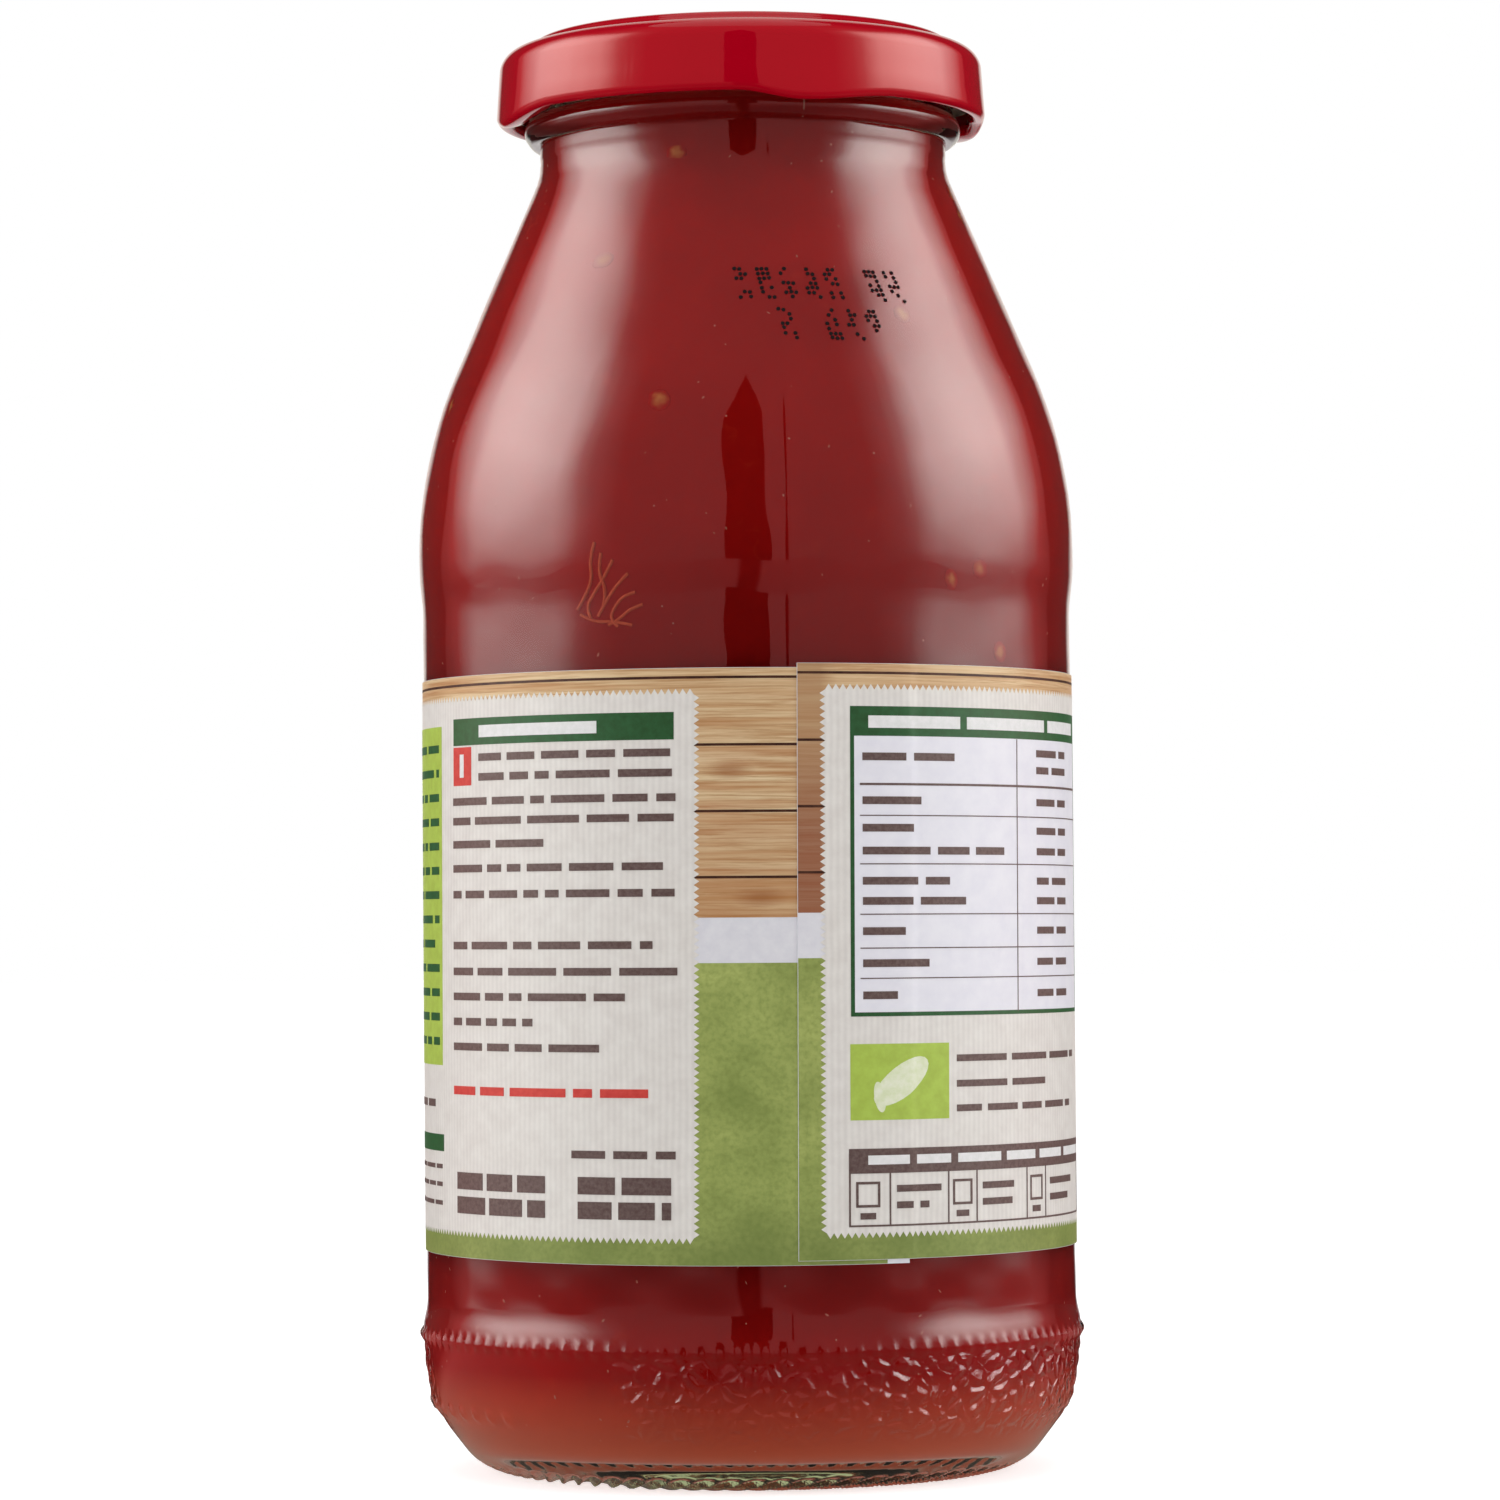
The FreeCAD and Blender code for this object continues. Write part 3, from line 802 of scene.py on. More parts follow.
# %% Cap outline
CAP_SEGMENTS = 480
CAP_CLEARANCE, CAP_FLARE, CURL_GAP, CAP_ROUND = 1.7, 0.35, 0.6, 2.5
CROWN_STEP, CROWN_STEP_WIDTH, CROWN_SETBACK, CROWN_WIDTH = 1.05, 1.7, 0.95, 2.5
PANEL_DEPTH, PANEL_STEP_WIDTH = 0.6, 1.3
BUTTON_RADIUS, BUTTON_STEP_WIDTH, BUTTON_DEPTH = 9.5, 2.0, 0.25
SKIRT_RADIUS = THREAD_RADIUS + CAP_CLEARANCE + CAP_SHEET
CURL_RADIUS = (CAP_CLEARANCE + CAP_SHEET + CAP_FLARE - CURL_GAP) / 2
SHOULDER_TOP = HEIGHT - CROWN_STEP
curl = (SKIRT_RADIUS + CAP_FLARE - CURL_RADIUS, CAP_BOTTOM + CURL_RADIUS)
brow = (SKIRT_RADIUS - CAP_ROUND, SHOULDER_TOP - CAP_ROUND)
flare = shared_facing(curl, CURL_RADIUS, 1, brow, CAP_ROUND, 1)
crown_outer = FINISH_RADIUS - CROWN_SETBACK
crown_inner = crown_outer - CROWN_WIDTH
panel_height = HEIGHT - PANEL_DEPTH
button_height = panel_height - BUTTON_DEPTH

cap_line = [rounding(curl, CURL_RADIUS, -230, flare), rounding(brow, CAP_ROUND, flare, 90)]
for start, end in (((crown_outer + CROWN_STEP_WIDTH, SHOULDER_TOP), (crown_outer, HEIGHT)),
                   ((crown_inner, HEIGHT), (crown_inner - PANEL_STEP_WIDTH, panel_height)),
                   ((BUTTON_RADIUS, panel_height),
                    (BUTTON_RADIUS - BUTTON_STEP_WIDTH, button_height))):
    cap_line += step_over(start, end, 90)
cap_outside = trace(cap_line, 0.3) + [(0.0, button_height)]
cap_inside = trace(cap_line, 0.4, CAP_SHEET) + [(0.0, button_height - CAP_SHEET)]
cap = spun("steel_cap", divided(cap_outside[::-1] + cap_inside, 2.5), CAP_SEGMENTS)
print("cap skirt radius", round(SKIRT_RADIUS, 2), "mm")

# %% Lugs, lowered edge and jaw marks, and the hair's breadth that the sealing ring lifts the cap
CAP_ASIDE, CAP_RAISE = 0.2, 0.2
LUG_PRESS, EDGE_PULL, JAW_PRESS, JAW_PITCH = 0.95, 0.93, 0.09, 0.75
points = points_of(cap)
radius, height, bearing = round_axis(points)
inward = np.zeros(len(points))
down = np.zeros(len(points))
for lug in range(LUGS):
    apart = turned_from(LUG_BEARING + 90 * lug, bearing)
    pressed = 1 - smooth_step(9, 15, np.abs(apart))
    on_curl = smooth_step(curl[0] + 0.1, curl[0] - 0.8, radius) * (height < curl[1] + 1.6)
    inward += LUG_PRESS * pressed * on_curl
    pulled = smooth_step(-24, -9, apart) * (1 - smooth_step(-8, 17, apart))
    down += EDGE_PULL * pulled * (1 - smooth_step(CAP_BOTTOM + 0.6, CAP_BOTTOM + 3.4, height))
marks = (np.round(bearing / JAW_PITCH) % 2) * smooth_step(-43, -40, bearing) * (
    1 - smooth_step(-27, -25, bearing))
inward += JAW_PRESS * marks * (radius > 27) * smooth_step(156.2, 156.8, height) * (
    1 - smooth_step(157.4, 158.6, height))
shrink = (radius - inward) / np.maximum(radius, 1e-6)
points[:, :2] *= shrink[:, None]
points[:, 0] -= CAP_ASIDE
points[:, 2] += CAP_RAISE - down
move_points(cap, points)
print("lugs pressed in by", round(inward.max(), 2), "mm")

# %% [markdown]
# Closures are roller-coated with lacquer on the flat sheet and then drawn, so the finish is even,
# thin and very glossy, with a faint orange-peel bump and a few hairline scuffs. It is the
# Principled shader as a smooth plastic coat over red. The inside has its own lacquer, a dull
# off-white, so the cap has two finishes, chosen by which way a face looks.

# %% Lacquer finishes
lacquer, lacquer_out = new_finish("red_lacquered_tinplate")
where = own_place(lacquer)
red = mixed(lacquer, noise(lacquer, where, 1 / (20 * MM), 3.0), linear("ae0019"), linear("b8021c"))
scuffs = noise(lacquer, where, 1 / (0.7 * MM), 4.0, Distortion=2.0)
coat(lacquer, lacquer_out, red, remap(lacquer, scuffs, 0.55, 0.8, 0.035, 0.1), {
    "IOR": 1.5, "Specular Tint": (1.0, 0.62, 0.58, 1.0),
    "Normal": bump(lacquer, noise(lacquer, where, 1 / (1.6 * MM)), 0.05, 0.1)})
hand_over(cap, lacquer, "red_lacquered_steel", "lid")

inner, inner_out = new_finish("white_inner_lacquer")
haze = noise(inner, own_place(inner), 1 / (8 * MM), 3.0)
coat(inner, inner_out, mixed(inner, haze, linear("d8d2c4"), linear("c9c2b2")), 0.5)
cap.data.materials.append(inner)
inward_faces = 0
for face in cap.data.polygons:
    axis_way = (face.center.x * face.normal.x + face.center.y * face.normal.y) / max(
        math.hypot(face.center.x, face.center.y), 1e-6)
    above_curl = face.center.z > (CAP_BOTTOM + 2 * CURL_RADIUS + 0.3) * MM
    within_skirt = axis_way < -0.3 and face.center.z < SHOULDER_TOP * MM
    if above_curl and (within_skirt or face.normal.z < -0.5):
        face.material_index = 1
        inward_faces += 1
print(inward_faces, "faces of the cap have the inner lacquer")

# %% [markdown]
# ## The label, laid out flat
#
# A wrap-round label is printed flat and then rolled on, and it is modelled in the same order. Flat,
# x is the run along the paper from its outer end, y is the height above the table, and z is how
# thick the print stands. The paper is one closed sheet. Each ink is a thin slab over it, so its
# edges stay sharp however close one looks, and stronger inks stand a hair higher than those they
# cover. At the end one function rolls every sheet round the jar.

# %% Label sizes and flat building blocks
PAPER = 0.15
LABEL_FOOT, LABEL_TOP = 25.3, 90.4
SEAM_BEARING, OVERLAP, RISE = 8.1, 12.9, 0.5
ROLL_RADIUS = PANEL_RADIUS + PAPER / 2
ONCE_ROUND = math.tau * ROLL_RADIUS
RUN = ONCE_ROUND + OVERLAP
COLUMN = 1.2


def new_sheet(name):
    """An empty mesh piece, in edit mode, ready for flat shapes."""
    sheet = added(name, bpy.data.meshes.new(name))
    pick(sheet)
    bpy.ops.object.mode_set(mode="EDIT")
    return sheet


def bar(left, right, foot, top, rows=1):
    """A flat rectangle, cut into columns narrow enough to be rolled."""
    columns = max(1, math.ceil((right - left) / COLUMN))
    bpy.ops.mesh.primitive_grid_add(x_subdivisions=columns, y_subdivisions=rows, size=1)
    bpy.ops.transform.resize(value=((right - left), (top - foot), 1))
    bpy.ops.transform.translate(value=((left + right) / 2, (foot + top) / 2, 0))


def frame_bars(left, right, foot, top, line):
    """A rectangle's outline, drawn as four bars."""
    bar(left, right, top - line, top)
    bar(left, right, foot, foot + line)
    bar(left, left + line, foot + line, top - line)
    bar(right - line, right, foot + line, top - line)


def close_sheet(sheet, lift):
    """Leave edit mode with the flat shapes closed into a slab that stands lift over the paper."""
    bpy.ops.object.mode_set(mode="OBJECT")
    modify(sheet, "thickness", "SOLIDIFY", thickness=PAPER + lift, offset=1.0)


def block_sheet(name, lift, *blocks, rows=1):
    """A sheet of plain blocks: the left, right, foot and top of each."""
    sheet = new_sheet(name)
    for block in blocks:
        bar(*block, rows)
    close_sheet(sheet, lift)
    return sheet


print("paper run", round(RUN, 1), "mm for", round(ONCE_ROUND, 1), "mm round the jar")

# %% [markdown]
# Rolling keeps the run as arc length. The sheet climbs half a millimetre over its run, as a
# label does when it is fed slightly askew, and its outer end lies on the paper's inner end, so it
# eases down to the glass where that end stops. Paper and ink must ease down along the same line,
# or one would show through the other, so each sheet is first cut across where that line bends. The
# flat place of every corner is kept as a UV map, in millimetres, for printed patterns to follow.

# %% Roll a sheet round the jar
STEP_RUNS = [OVERLAP + along for along in (0.0, 0.35, 0.65, 0.95, 1.3)]
STEP_LIFT = [1.0, 0.82, 0.5, 0.18, 0.0]
ASKEW = 0.0072
CLEAR_OF_GLASS, CLEAR_OF_PAPER = 0.005, 0.01


def cut_at_step(sheet):
    """Cut a flat sheet across where the paper eases down from its own inner end."""
    runs = points_of(sheet)[:, 0] * MM
    if runs.min() > STEP_RUNS[-1] or runs.max() < STEP_RUNS[0]:
        return
    pick(sheet)
    bpy.ops.object.mode_set(mode="EDIT")
    for run in STEP_RUNS:
        bpy.ops.mesh.select_all(action="SELECT")
        bpy.ops.mesh.bisect(plane_co=(run, 0, 0), plane_no=(1, 0, 0))
    bpy.ops.object.mode_set(mode="OBJECT")


def roll_on(sheet):
    cut_at_step(sheet)
    flat = points_of(sheet) * MM
    corners = np.empty(len(sheet.data.loops), dtype=np.int32)
    sheet.data.loops.foreach_get("vertex_index", corners)
    flat_map = sheet.data.uv_layers.new(name="flat")
    flat_map.data.foreach_set("uv", flat[corners, :2].astype(np.float32).ravel())

    run, high, out = flat.T
    lapped = np.interp(run, STEP_RUNS, STEP_LIFT)
    distance = PANEL_RADIUS + CLEAR_OF_GLASS + (PAPER + CLEAR_OF_PAPER) * lapped + out
    askew = ASKEW * (high - (LABEL_FOOT + LABEL_TOP) / 2)
    turn = np.radians(SEAM_BEARING) + (run + askew * (1 - lapped * 0.3)) / ROLL_RADIUS
    climb = high + RISE * (1 - run / RUN)
    move_points(sheet, np.stack([distance * np.sin(turn), -distance * np.cos(turn), climb], 1))
    pick(sheet)
    bpy.ops.object.shade_smooth_by_angle(angle=math.radians(30))


# %% The paper
paper = block_sheet("label_paper", 0.0, (0.0, RUN, LABEL_FOOT, LABEL_TOP), rows=26)

# %% [markdown]
# ## What is printed
#
# The print is fields of colour. Boards of pale wood run along the top, with a bare white strip
# below them and a field of leafy green down to the foot. Cream panels with pinked edges, like
# swatches of cloth, carry dark green headers, a table, rows of words and a lime block. The words
# stand as plain bars, so that the label reads as a label without saying anything. The front, which
# the shelf sees, has the same fields with a simple tomato.
#
# Each ink has its own sheet, and its height over the paper says what it covers.

# %% Boards, board gaps and green field
WOOD_FOOT, GREEN_TOP = 63.15, 58.2
FIELD_LIFT, GAP_LIFT, GAP_HALF = 0.02, 0.032, 0.14
PRINT_START, PRINT_END, PRINT_MARGIN = 0.05, RUN - 2.7, 0.04
boards = block_sheet("label_boards", FIELD_LIFT,
                     (PRINT_START, PRINT_END, WOOD_FOOT, LABEL_TOP - PRINT_MARGIN), rows=4)
gaps = block_sheet("label_board_gaps", GAP_LIFT, *[
    (PRINT_START, PRINT_END, high - GAP_HALF, high + GAP_HALF)
    for high in (89.35, 82.0, 74.75, 67.55)])
green_field = block_sheet("label_green_field", FIELD_LIFT,
                          (PRINT_START, PRINT_END, LABEL_FOOT + PRINT_MARGIN, GREEN_TOP), rows=4)

# %% [markdown]
# A pinked edge is a row of small triangles. One tooth is made, an Array modifier repeats it along
# the side of the panel, and the row is joined to it.

# %% Cream panels with pinked edges
TOOTH_PITCH, TOOTH_DEPTH = 0.8, 0.62


def tooth_row(start, end, outward):
    """A row of teeth from start to end whose tips point outward, in degrees."""
    length = math.dist(start, end)
    count = round(length / TOOTH_PITCH)
    pitch = length / count
    bpy.ops.object.select_all(action="DESELECT")
    bpy.ops.mesh.primitive_circle_add(vertices=3, radius=1.0, fill_type="NGON")
    row = bpy.context.object
    bpy.ops.object.mode_set(mode="EDIT")
    bpy.ops.transform.translate(value=(0, 0.5, 0))
    bpy.ops.transform.resize(value=(pitch / math.sqrt(3), TOOTH_DEPTH / 1.5, 1),
                             center_override=(0, 0, 0))
    bpy.ops.transform.translate(value=(pitch / 2, 0, 0))
    bpy.ops.object.mode_set(mode="OBJECT")
    modify(row, "teeth", "ARRAY", count=count, use_relative_offset=False,
           use_constant_offset=True, constant_offset_displace=(pitch, 0, 0))
    turn = math.radians(outward - 90)
    first = {90: start, -90: end, 180: start, 0: end}[outward]
    row.data.transform(Matrix.Translation((first[0], first[1], 0)) @ Matrix.Rotation(turn, 4, "Z"))
    return row


def pinked_panel(name, left, right, foot, top, lift):
    panel = new_sheet(name)
    bar(left, right, foot, top, rows=2)
    bpy.ops.object.mode_set(mode="OBJECT")
    rows = [tooth_row((left, top), (right, top), 90), tooth_row((left, foot), (right, foot), -90),
            tooth_row((left, foot), (left, top), 180), tooth_row((right, foot), (right, top), 0)]
    pick(panel, *rows)
    bpy.ops.object.join()
    bpy.ops.object.mode_set(mode="EDIT")
    bpy.ops.mesh.select_all(action="SELECT")
    close_sheet(panel, lift)
    return panel


PANEL_FOOT, PANEL_HEAD = 28.3, 87.5
panels = [pinked_panel("label_panel_" + name, left, right, PANEL_FOOT, PANEL_HEAD, 0.045)
          for name, left, right in (("table", 3.1, 53.0), ("front", 80.0, 144.0),
                                    ("storage", 156.0, 223.7))]
print(len(panels), "pinked panels")

# %% [markdown]
# The table and the blocks on the panels come next. Rows of words are made by one function that
# fills a line with bars of random length and the usual gaps between words.

# %% Headers, table and blocks
TABLE = TABLE_LEFT, TABLE_RIGHT, TABLE_FOOT, TABLE_TOP = (5.9, 49.7, 51.8, 85.7)
FRAME_LINE, FRAME_INSET = 0.45, 0.3
GROUND_LIFT, BLOCK_LIFT, WORD_LIFT = 0.06, 0.075, 0.09
table_ground = block_sheet("label_table_ground", GROUND_LIFT, (
    TABLE_LEFT + FRAME_INSET, TABLE_RIGHT - FRAME_INSET, TABLE_FOOT + FRAME_INSET,
    TABLE_TOP - FRAME_INSET))

ink_green = new_sheet("label_ink_green")
frame_bars(*TABLE, FRAME_LINE)
for block in ((TABLE_LEFT + FRAME_LINE, TABLE_RIGHT - FRAME_LINE, 82.45, TABLE_TOP - FRAME_LINE),
              (189.3, 221.5, 82.6, 85.6), (158.0, 186.1, 37.0, 38.9), (84.0, 140.0, 80.2, 84.6)):
    bar(*block)
close_sheet(ink_green, BLOCK_LIFT)

ink_lime = block_sheet("label_ink_lime", BLOCK_LIFT, (5.8, 18.1, 40.5, 48.8),
                       (158.0, 185.8, 46.7, 84.9), (84.0, 140.0, 31.5, 36.5))
ink_red = block_sheet("label_ink_red", BLOCK_LIFT, (189.3, 193.4, 78.1, 82.4))


# %% Rows of words
def words(left, right, middle, tall, spread=(1.8, 8.5), gap=1.0):
    """Bars of random length from left to right, like a printed line of words."""
    at = left
    while at < right - 0.8:
        reach = min(at + chance.uniform(*spread), right)
        if right - reach < 1.2:
            reach = right
        bar(at, reach, middle - tall / 2, middle + tall / 2)
        at = reach + gap


brown = new_sheet("label_ink_brown")
for left, right, middle in (
        (194.9, 221.1, 81.2), (194.9, 221.3, 79.0), (189.2, 221.7, 76.3), (189.2, 221.5, 74.1),
        (189.2, 205.5, 71.5), (189.2, 221.5, 68.8), (189.2, 221.6, 65.9), (189.2, 219.1, 60.2),
        (189.2, 221.9, 57.3), (189.2, 215.9, 54.5), (189.2, 203.9, 51.7), (189.2, 212.8, 48.9),
        (209.3, 221.7, 37.3)):
    words(left, right, middle, 0.85)
for left, right, middle in ((19.2, 45.7, 47.1), (19.2, 36.5, 44.3), (19.2, 43.6, 41.6)):
    words(left, right, middle, 0.75)
for right, middle in ((19.0, 80.2), (14.5, 75.4), (13.5, 72.4), (26.8, 69.9), (18.3, 66.6),
                      (20.6, 64.4), (12.4, 61.1), (15.5, 57.6), (11.4, 54.1)):
    words(7.3, right, middle, 0.85, spread=(3.5, 9.0))
for middle in (80.9, 79.0, 75.4, 72.2, 69.9, 66.6, 64.4, 61.1, 57.6, 54.1):
    words(33.5, 42.6, middle, 0.8, spread=(3.0, 6.0))
for middle in (35.3, 33.3, 31.2):
    words(158.0, 185.6, middle, 0.5, spread=(1.5, 5.0), gap=0.7)
words(158.0, 184.6, 42.4, 0.85)
for middle, tall in ((33.9, 1.9), (31.2, 1.9)):
    words(190.0, 205.7, middle, tall, spread=(3.5, 6.0), gap=0.8)
    words(210.1, 221.2, middle, tall, spread=(3.5, 6.0), gap=0.8)
bar(5.6, 49.4, 34.9, 37.4)
frame_bars(5.6, 49.4, 28.9, 34.9, 0.2)
for divider in (10.4, 18.0, 22.1, 30.9, 35.2):
    bar(divider - 0.09, divider + 0.09, 29.0, 34.8)
for left, right in ((11.2, 17.0), (23.0, 29.6), (36.4, 44.0)):
    words(left, right, 33.0, 0.75)
    words(left, right - 1.6, 31.2, 0.75)
for left in (6.4, 18.6, 31.6):
    frame_bars(left, left + 2.8, 31.0, 33.8, 0.28)
    bar(left + 0.5, left + 2.3, 29.7, 30.4)
bar(7.0, 49.2, 77.05, 77.3)
for rule in (73.75, 68.45, 62.95, 59.25, 55.95):
    bar(7.0, 49.2, rule - 0.06, rule + 0.06)
bar(29.2, 29.34, 52.1, 82.4)
close_sheet(brown, WORD_LIFT)

red_words = new_sheet("label_ink_red_words")
words(189.2, 218.6, 44.0, 0.95)
close_sheet(red_words, WORD_LIFT)

white_words = new_sheet("label_ink_white")
words(8.0, 47.0, 84.0, 1.35, spread=(10.0, 18.0))
words(195.0, 212.5, 84.1, 1.35, spread=(15.0, 18.0))
words(7.8, 48.6, 36.15, 1.0, spread=(4.0, 9.0))
words(100.0, 124.0, 82.4, 1.9, spread=(8.0, 14.0))
bar(190.9, 191.8, 79.0, 81.6)
close_sheet(white_words, 0.1)

green_words = new_sheet("label_ink_green_words")
for step in range(13):
    words(158.0 + chance.uniform(0, 4), 184.9, 82.4 - 2.75 * step, 0.9)
close_sheet(green_words, WORD_LIFT)

# %% [markdown]
# The leaf on the lime block and the tomato on the front start as circles. A circle filled with
# triangles and subdivided is fine enough to be rolled, and resizing it draws the leaf out long and
# narrow. The tomato is a disc with a slightly larger darker disc below it, for its shaded side, and
# a calyx of five leaves.


# %% Leaf and tomato
def leaf(middle, long, wide, turn):
    """A long narrow oval leaf, flat, with one end towards turn."""
    bpy.ops.mesh.primitive_circle_add(vertices=24, radius=1, fill_type="TRIFAN")
    bpy.ops.mesh.subdivide(number_cuts=2)
    bpy.ops.transform.resize(value=(long / 2, wide / 2, 1))
    bpy.ops.transform.rotate(value=-math.radians(turn), orient_axis="Z",
                             center_override=(0, 0, 0))
    bpy.ops.transform.translate(value=(middle[0], middle[1], 0))


def disc(middle, wide, high):
    bpy.ops.mesh.primitive_circle_add(vertices=48, radius=0.5, fill_type="TRIFAN")
    bpy.ops.mesh.subdivide(number_cuts=12)
    bpy.ops.transform.resize(value=(wide, high, 1))
    bpy.ops.transform.translate(value=(middle[0], middle[1], 0))


block_leaf = new_sheet("label_block_leaf")
leaf((11.9, 44.7), 8.0, 3.4, 35)
leaf((9.2, 43.0), 3.4, 1.3, 100)
close_sheet(block_leaf, WORD_LIFT)

tomato_dark = new_sheet("label_tomato_shade")
disc((112.2, 55.6), 36.0, 33.0)
close_sheet(tomato_dark, BLOCK_LIFT)
tomato_light = new_sheet("label_tomato_light")
disc((111.0, 56.6), 32.5, 29.5)
close_sheet(tomato_light, WORD_LIFT)
calyx = new_sheet("label_tomato_calyx")
for point_at in (18, 90, 162, 234, 306):
    turn = math.radians(point_at)
    leaf((111.5 + 5.2 * math.cos(turn), 66.5 + 3.0 * math.sin(turn)), 11.5, 2.6, point_at)
bar(110.9, 112.1, 67.0, 74.5)
close_sheet(calyx, 0.105)

# %% Roll everything on
flat_sheets = [paper, boards, gaps, green_field, *panels, table_ground, ink_green, ink_lime,
               ink_red, brown, red_words, white_words, green_words, block_leaf, tomato_dark,
               tomato_light, calyx]
for sheet in flat_sheets:
    roll_on(sheet)
print(len(flat_sheets), "sheets rolled round the jar")

# %% [markdown]
# ## Print finishes
#
# The label is coated paper printed in offset inks: a soft sheen, flat colour, and a fine mottle
# where ink soaked in unevenly. The boards and the green field are printed pictures of wood and
# leaf, so their noise is stretched along the run for grain and left round for leaf. They read the
# flat map, so the pattern follows the paper. Every ink shares one builder with its two tones, and a
# printed picture gives it a few small functions that draw ribs, grain, knots or mottle on top.


# %% Ink and paper
def printed(name, pale, deep, grain, *layers, stretch=(1.0, 1.0), low=0.35, high=0.65, detail=3.0):
    """Ink on coated paper. Its tone wanders between two colours over grain millimetres.

    Each layer is a function that draws over it: it's given the finish, the flat map and the
    colour so far, and it gives the new colour."""
    finish, out = new_finish(name)
    flat = add(finish, "UVMap", uv_map="flat").outputs["UV"]
    placed = stretched(finish, flat, stretch[0] / grain, stretch[1] / grain, 1)
    wander = noise(finish, placed, 1.0, detail, Roughness=0.6)
    colour = mixed(finish, remap(finish, wander, low, high), linear(pale), linear(deep))
    for layer in layers:
        colour = layer(finish, flat, colour)
    coat(finish, out, colour, 0.42, {"Specular IOR Level": 0.25})
    return finish


inks = {name: printed(name, pale, deep, grain) for name, pale, deep, grain in (
    ("coated_white_paper", "eaeaef", "e2e2e9", 1.6), ("board_gap_ink", "2c1a10", "4a3020", 2.0),
    ("table_ground_ink", "f1f1f8", "ebebf4", 2.5), ("dark_green_ink", "1f5c33", "195029", 0.8),
    ("lime_ink", "b2cf56", "a8c24e", 1.5), ("red_ink", "d4483f", "c83b35", 0.8),
    ("brown_text_ink", "6a5c58", "574744", 0.5), ("white_ink", "f1f1f1", "e6e8e6", 0.8),
    ("pale_leaf_ink", "eef3da", "dfe9c0", 1.0), ("tomato_shade_ink", "a01c14", "861410", 5.0),
    ("tomato_light_ink", "cf3524", "b8261b", 7.0))}
print(len(inks), "plain inks ready")


# %% Cream panel: coated paper printed with the ribs of laid paper
def laid_ribs(cream, flat, colour):
    ribs = add(cream, "TexWave", {"Vector": flat, "Scale": 0.42, "Distortion": 1.6, "Detail": 1.0,
                                  "Detail Scale": 0.5}, wave_type="BANDS", bands_direction="X")
    return mixed(cream, 0.07, colour, ribs.outputs["Color"], "MULTIPLY")


cream = printed("ribbed_cream_print", "eeebe5", "e6e2dc", 2.2, laid_ribs)


# %% Boards: grain along the run, and each board its own tone
def fine_grain(wood, flat, give="Fac"):
    return noise(wood, stretched(wood, flat, 0.07, 2.6, 1), 1.0, 5.0, give, Roughness=0.7,
                 Distortion=0.3)


def grain_lines(wood, flat, colour):
    return mixed(wood, remap(wood, fine_grain(wood, flat), 0.46, 0.62, high=0.7), colour,
                 linear("a87440"))


def red_streaks(wood, flat, colour):
    streak = noise(wood, stretched(wood, flat, 0.05, 0.5, 1), 1.0, 4.0)
    return mixed(wood, remap(wood, streak, 0.5, 0.75, high=0.45), colour, linear("b06a3c"))


def board_tones(wood, flat, colour):
    """Each board has a tone of its own, and the lower boards are darker."""
    place = add(wood, "Mapping", {"Vector": flat, "Location": (0.0, -0.35, 0.0),
                                  "Scale": (0.012, 1 / BOARD_WIDTH, 1)}).outputs["Vector"]
    tone = add(wood, "TexWhiteNoise", {"Vector": vector(wood, "FLOOR", place)}).outputs["Value"]
    colour = mixed(wood, remap(wood, tone, 0, 1, high=0.25), colour, linear("c79a66"))
    lower = remap(wood, axis_of(wood, flat, "Y"), 80.0, 66.0, high=0.45)
    return mixed(wood, lower, colour, linear("b27844"))


def outer_end(wood, flat, colour):
    """The strip beside the seam is browner, and more so towards the foot."""
    beside_seam = remap(wood, axis_of(wood, flat, "X"), 4.5, 2.5, high=0.75)
    lower = remap(wood, axis_of(wood, flat, "Y"), 84.0, 72.0)
    return mixed(wood, beside_seam, colour, mixed(wood, lower, linear("b08860"), linear("8a4c36")))


def knots(wood, flat, colour):
    """Round dark knots, drawn out along the boards: the run, the height and the size of each."""
    wobble = mixed(wood, 0.9, flat, fine_grain(wood, flat, "Color"), "ADD")
    for run, high, size in ((228.0, 79.6, 1.2), (231.4, 65.8, 1.3), (66.0, 71.0, 1.3),
                            (72.5, 85.6, 0.9), (150.3, 78.0, 1.1)):
        apart = vector(wood, "SUBTRACT", wobble, (run, high, 0.0))
        away = vector(wood, "LENGTH", vector(wood, "MULTIPLY", apart, (0.4, 1.0, 0.0)),
                      give="Value")
        knot = remap(wood, away, size, 0.2 * size, high=0.6)
        colour = mixed(wood, knot, colour, linear("9a5f30"))
    return colour


BOARD_WIDTH = 7.3
wood = printed("printed_boards", "efdab0", "bf8c5a", 9.0, grain_lines, red_streaks, board_tones,
               outer_end, knots, stretch=(0.25, 9.0), low=0.4, high=0.72, detail=6.0)


# %% Green field: leaf mottle at three sizes
def leaf_mottle(leafy, flat, colour):
    """Finer mottle, and a shaded foot."""
    fine = remap(leafy, noise(leafy, flat, 1.6, 3.0), 0.4, 0.75, high=0.55)
    colour = mixed(leafy, fine, colour, linear("74883f"))
    shaded = remap(leafy, axis_of(leafy, flat, "Y"), 34.0, 27.0, high=0.5)
    return mixed(leafy, shaded, colour, linear("63783a"))


leafy = printed("printed_green_leaf", "b0be6b", "87994e", 9.0, leaf_mottle, low=0.34, high=0.68,
                detail=8.0)

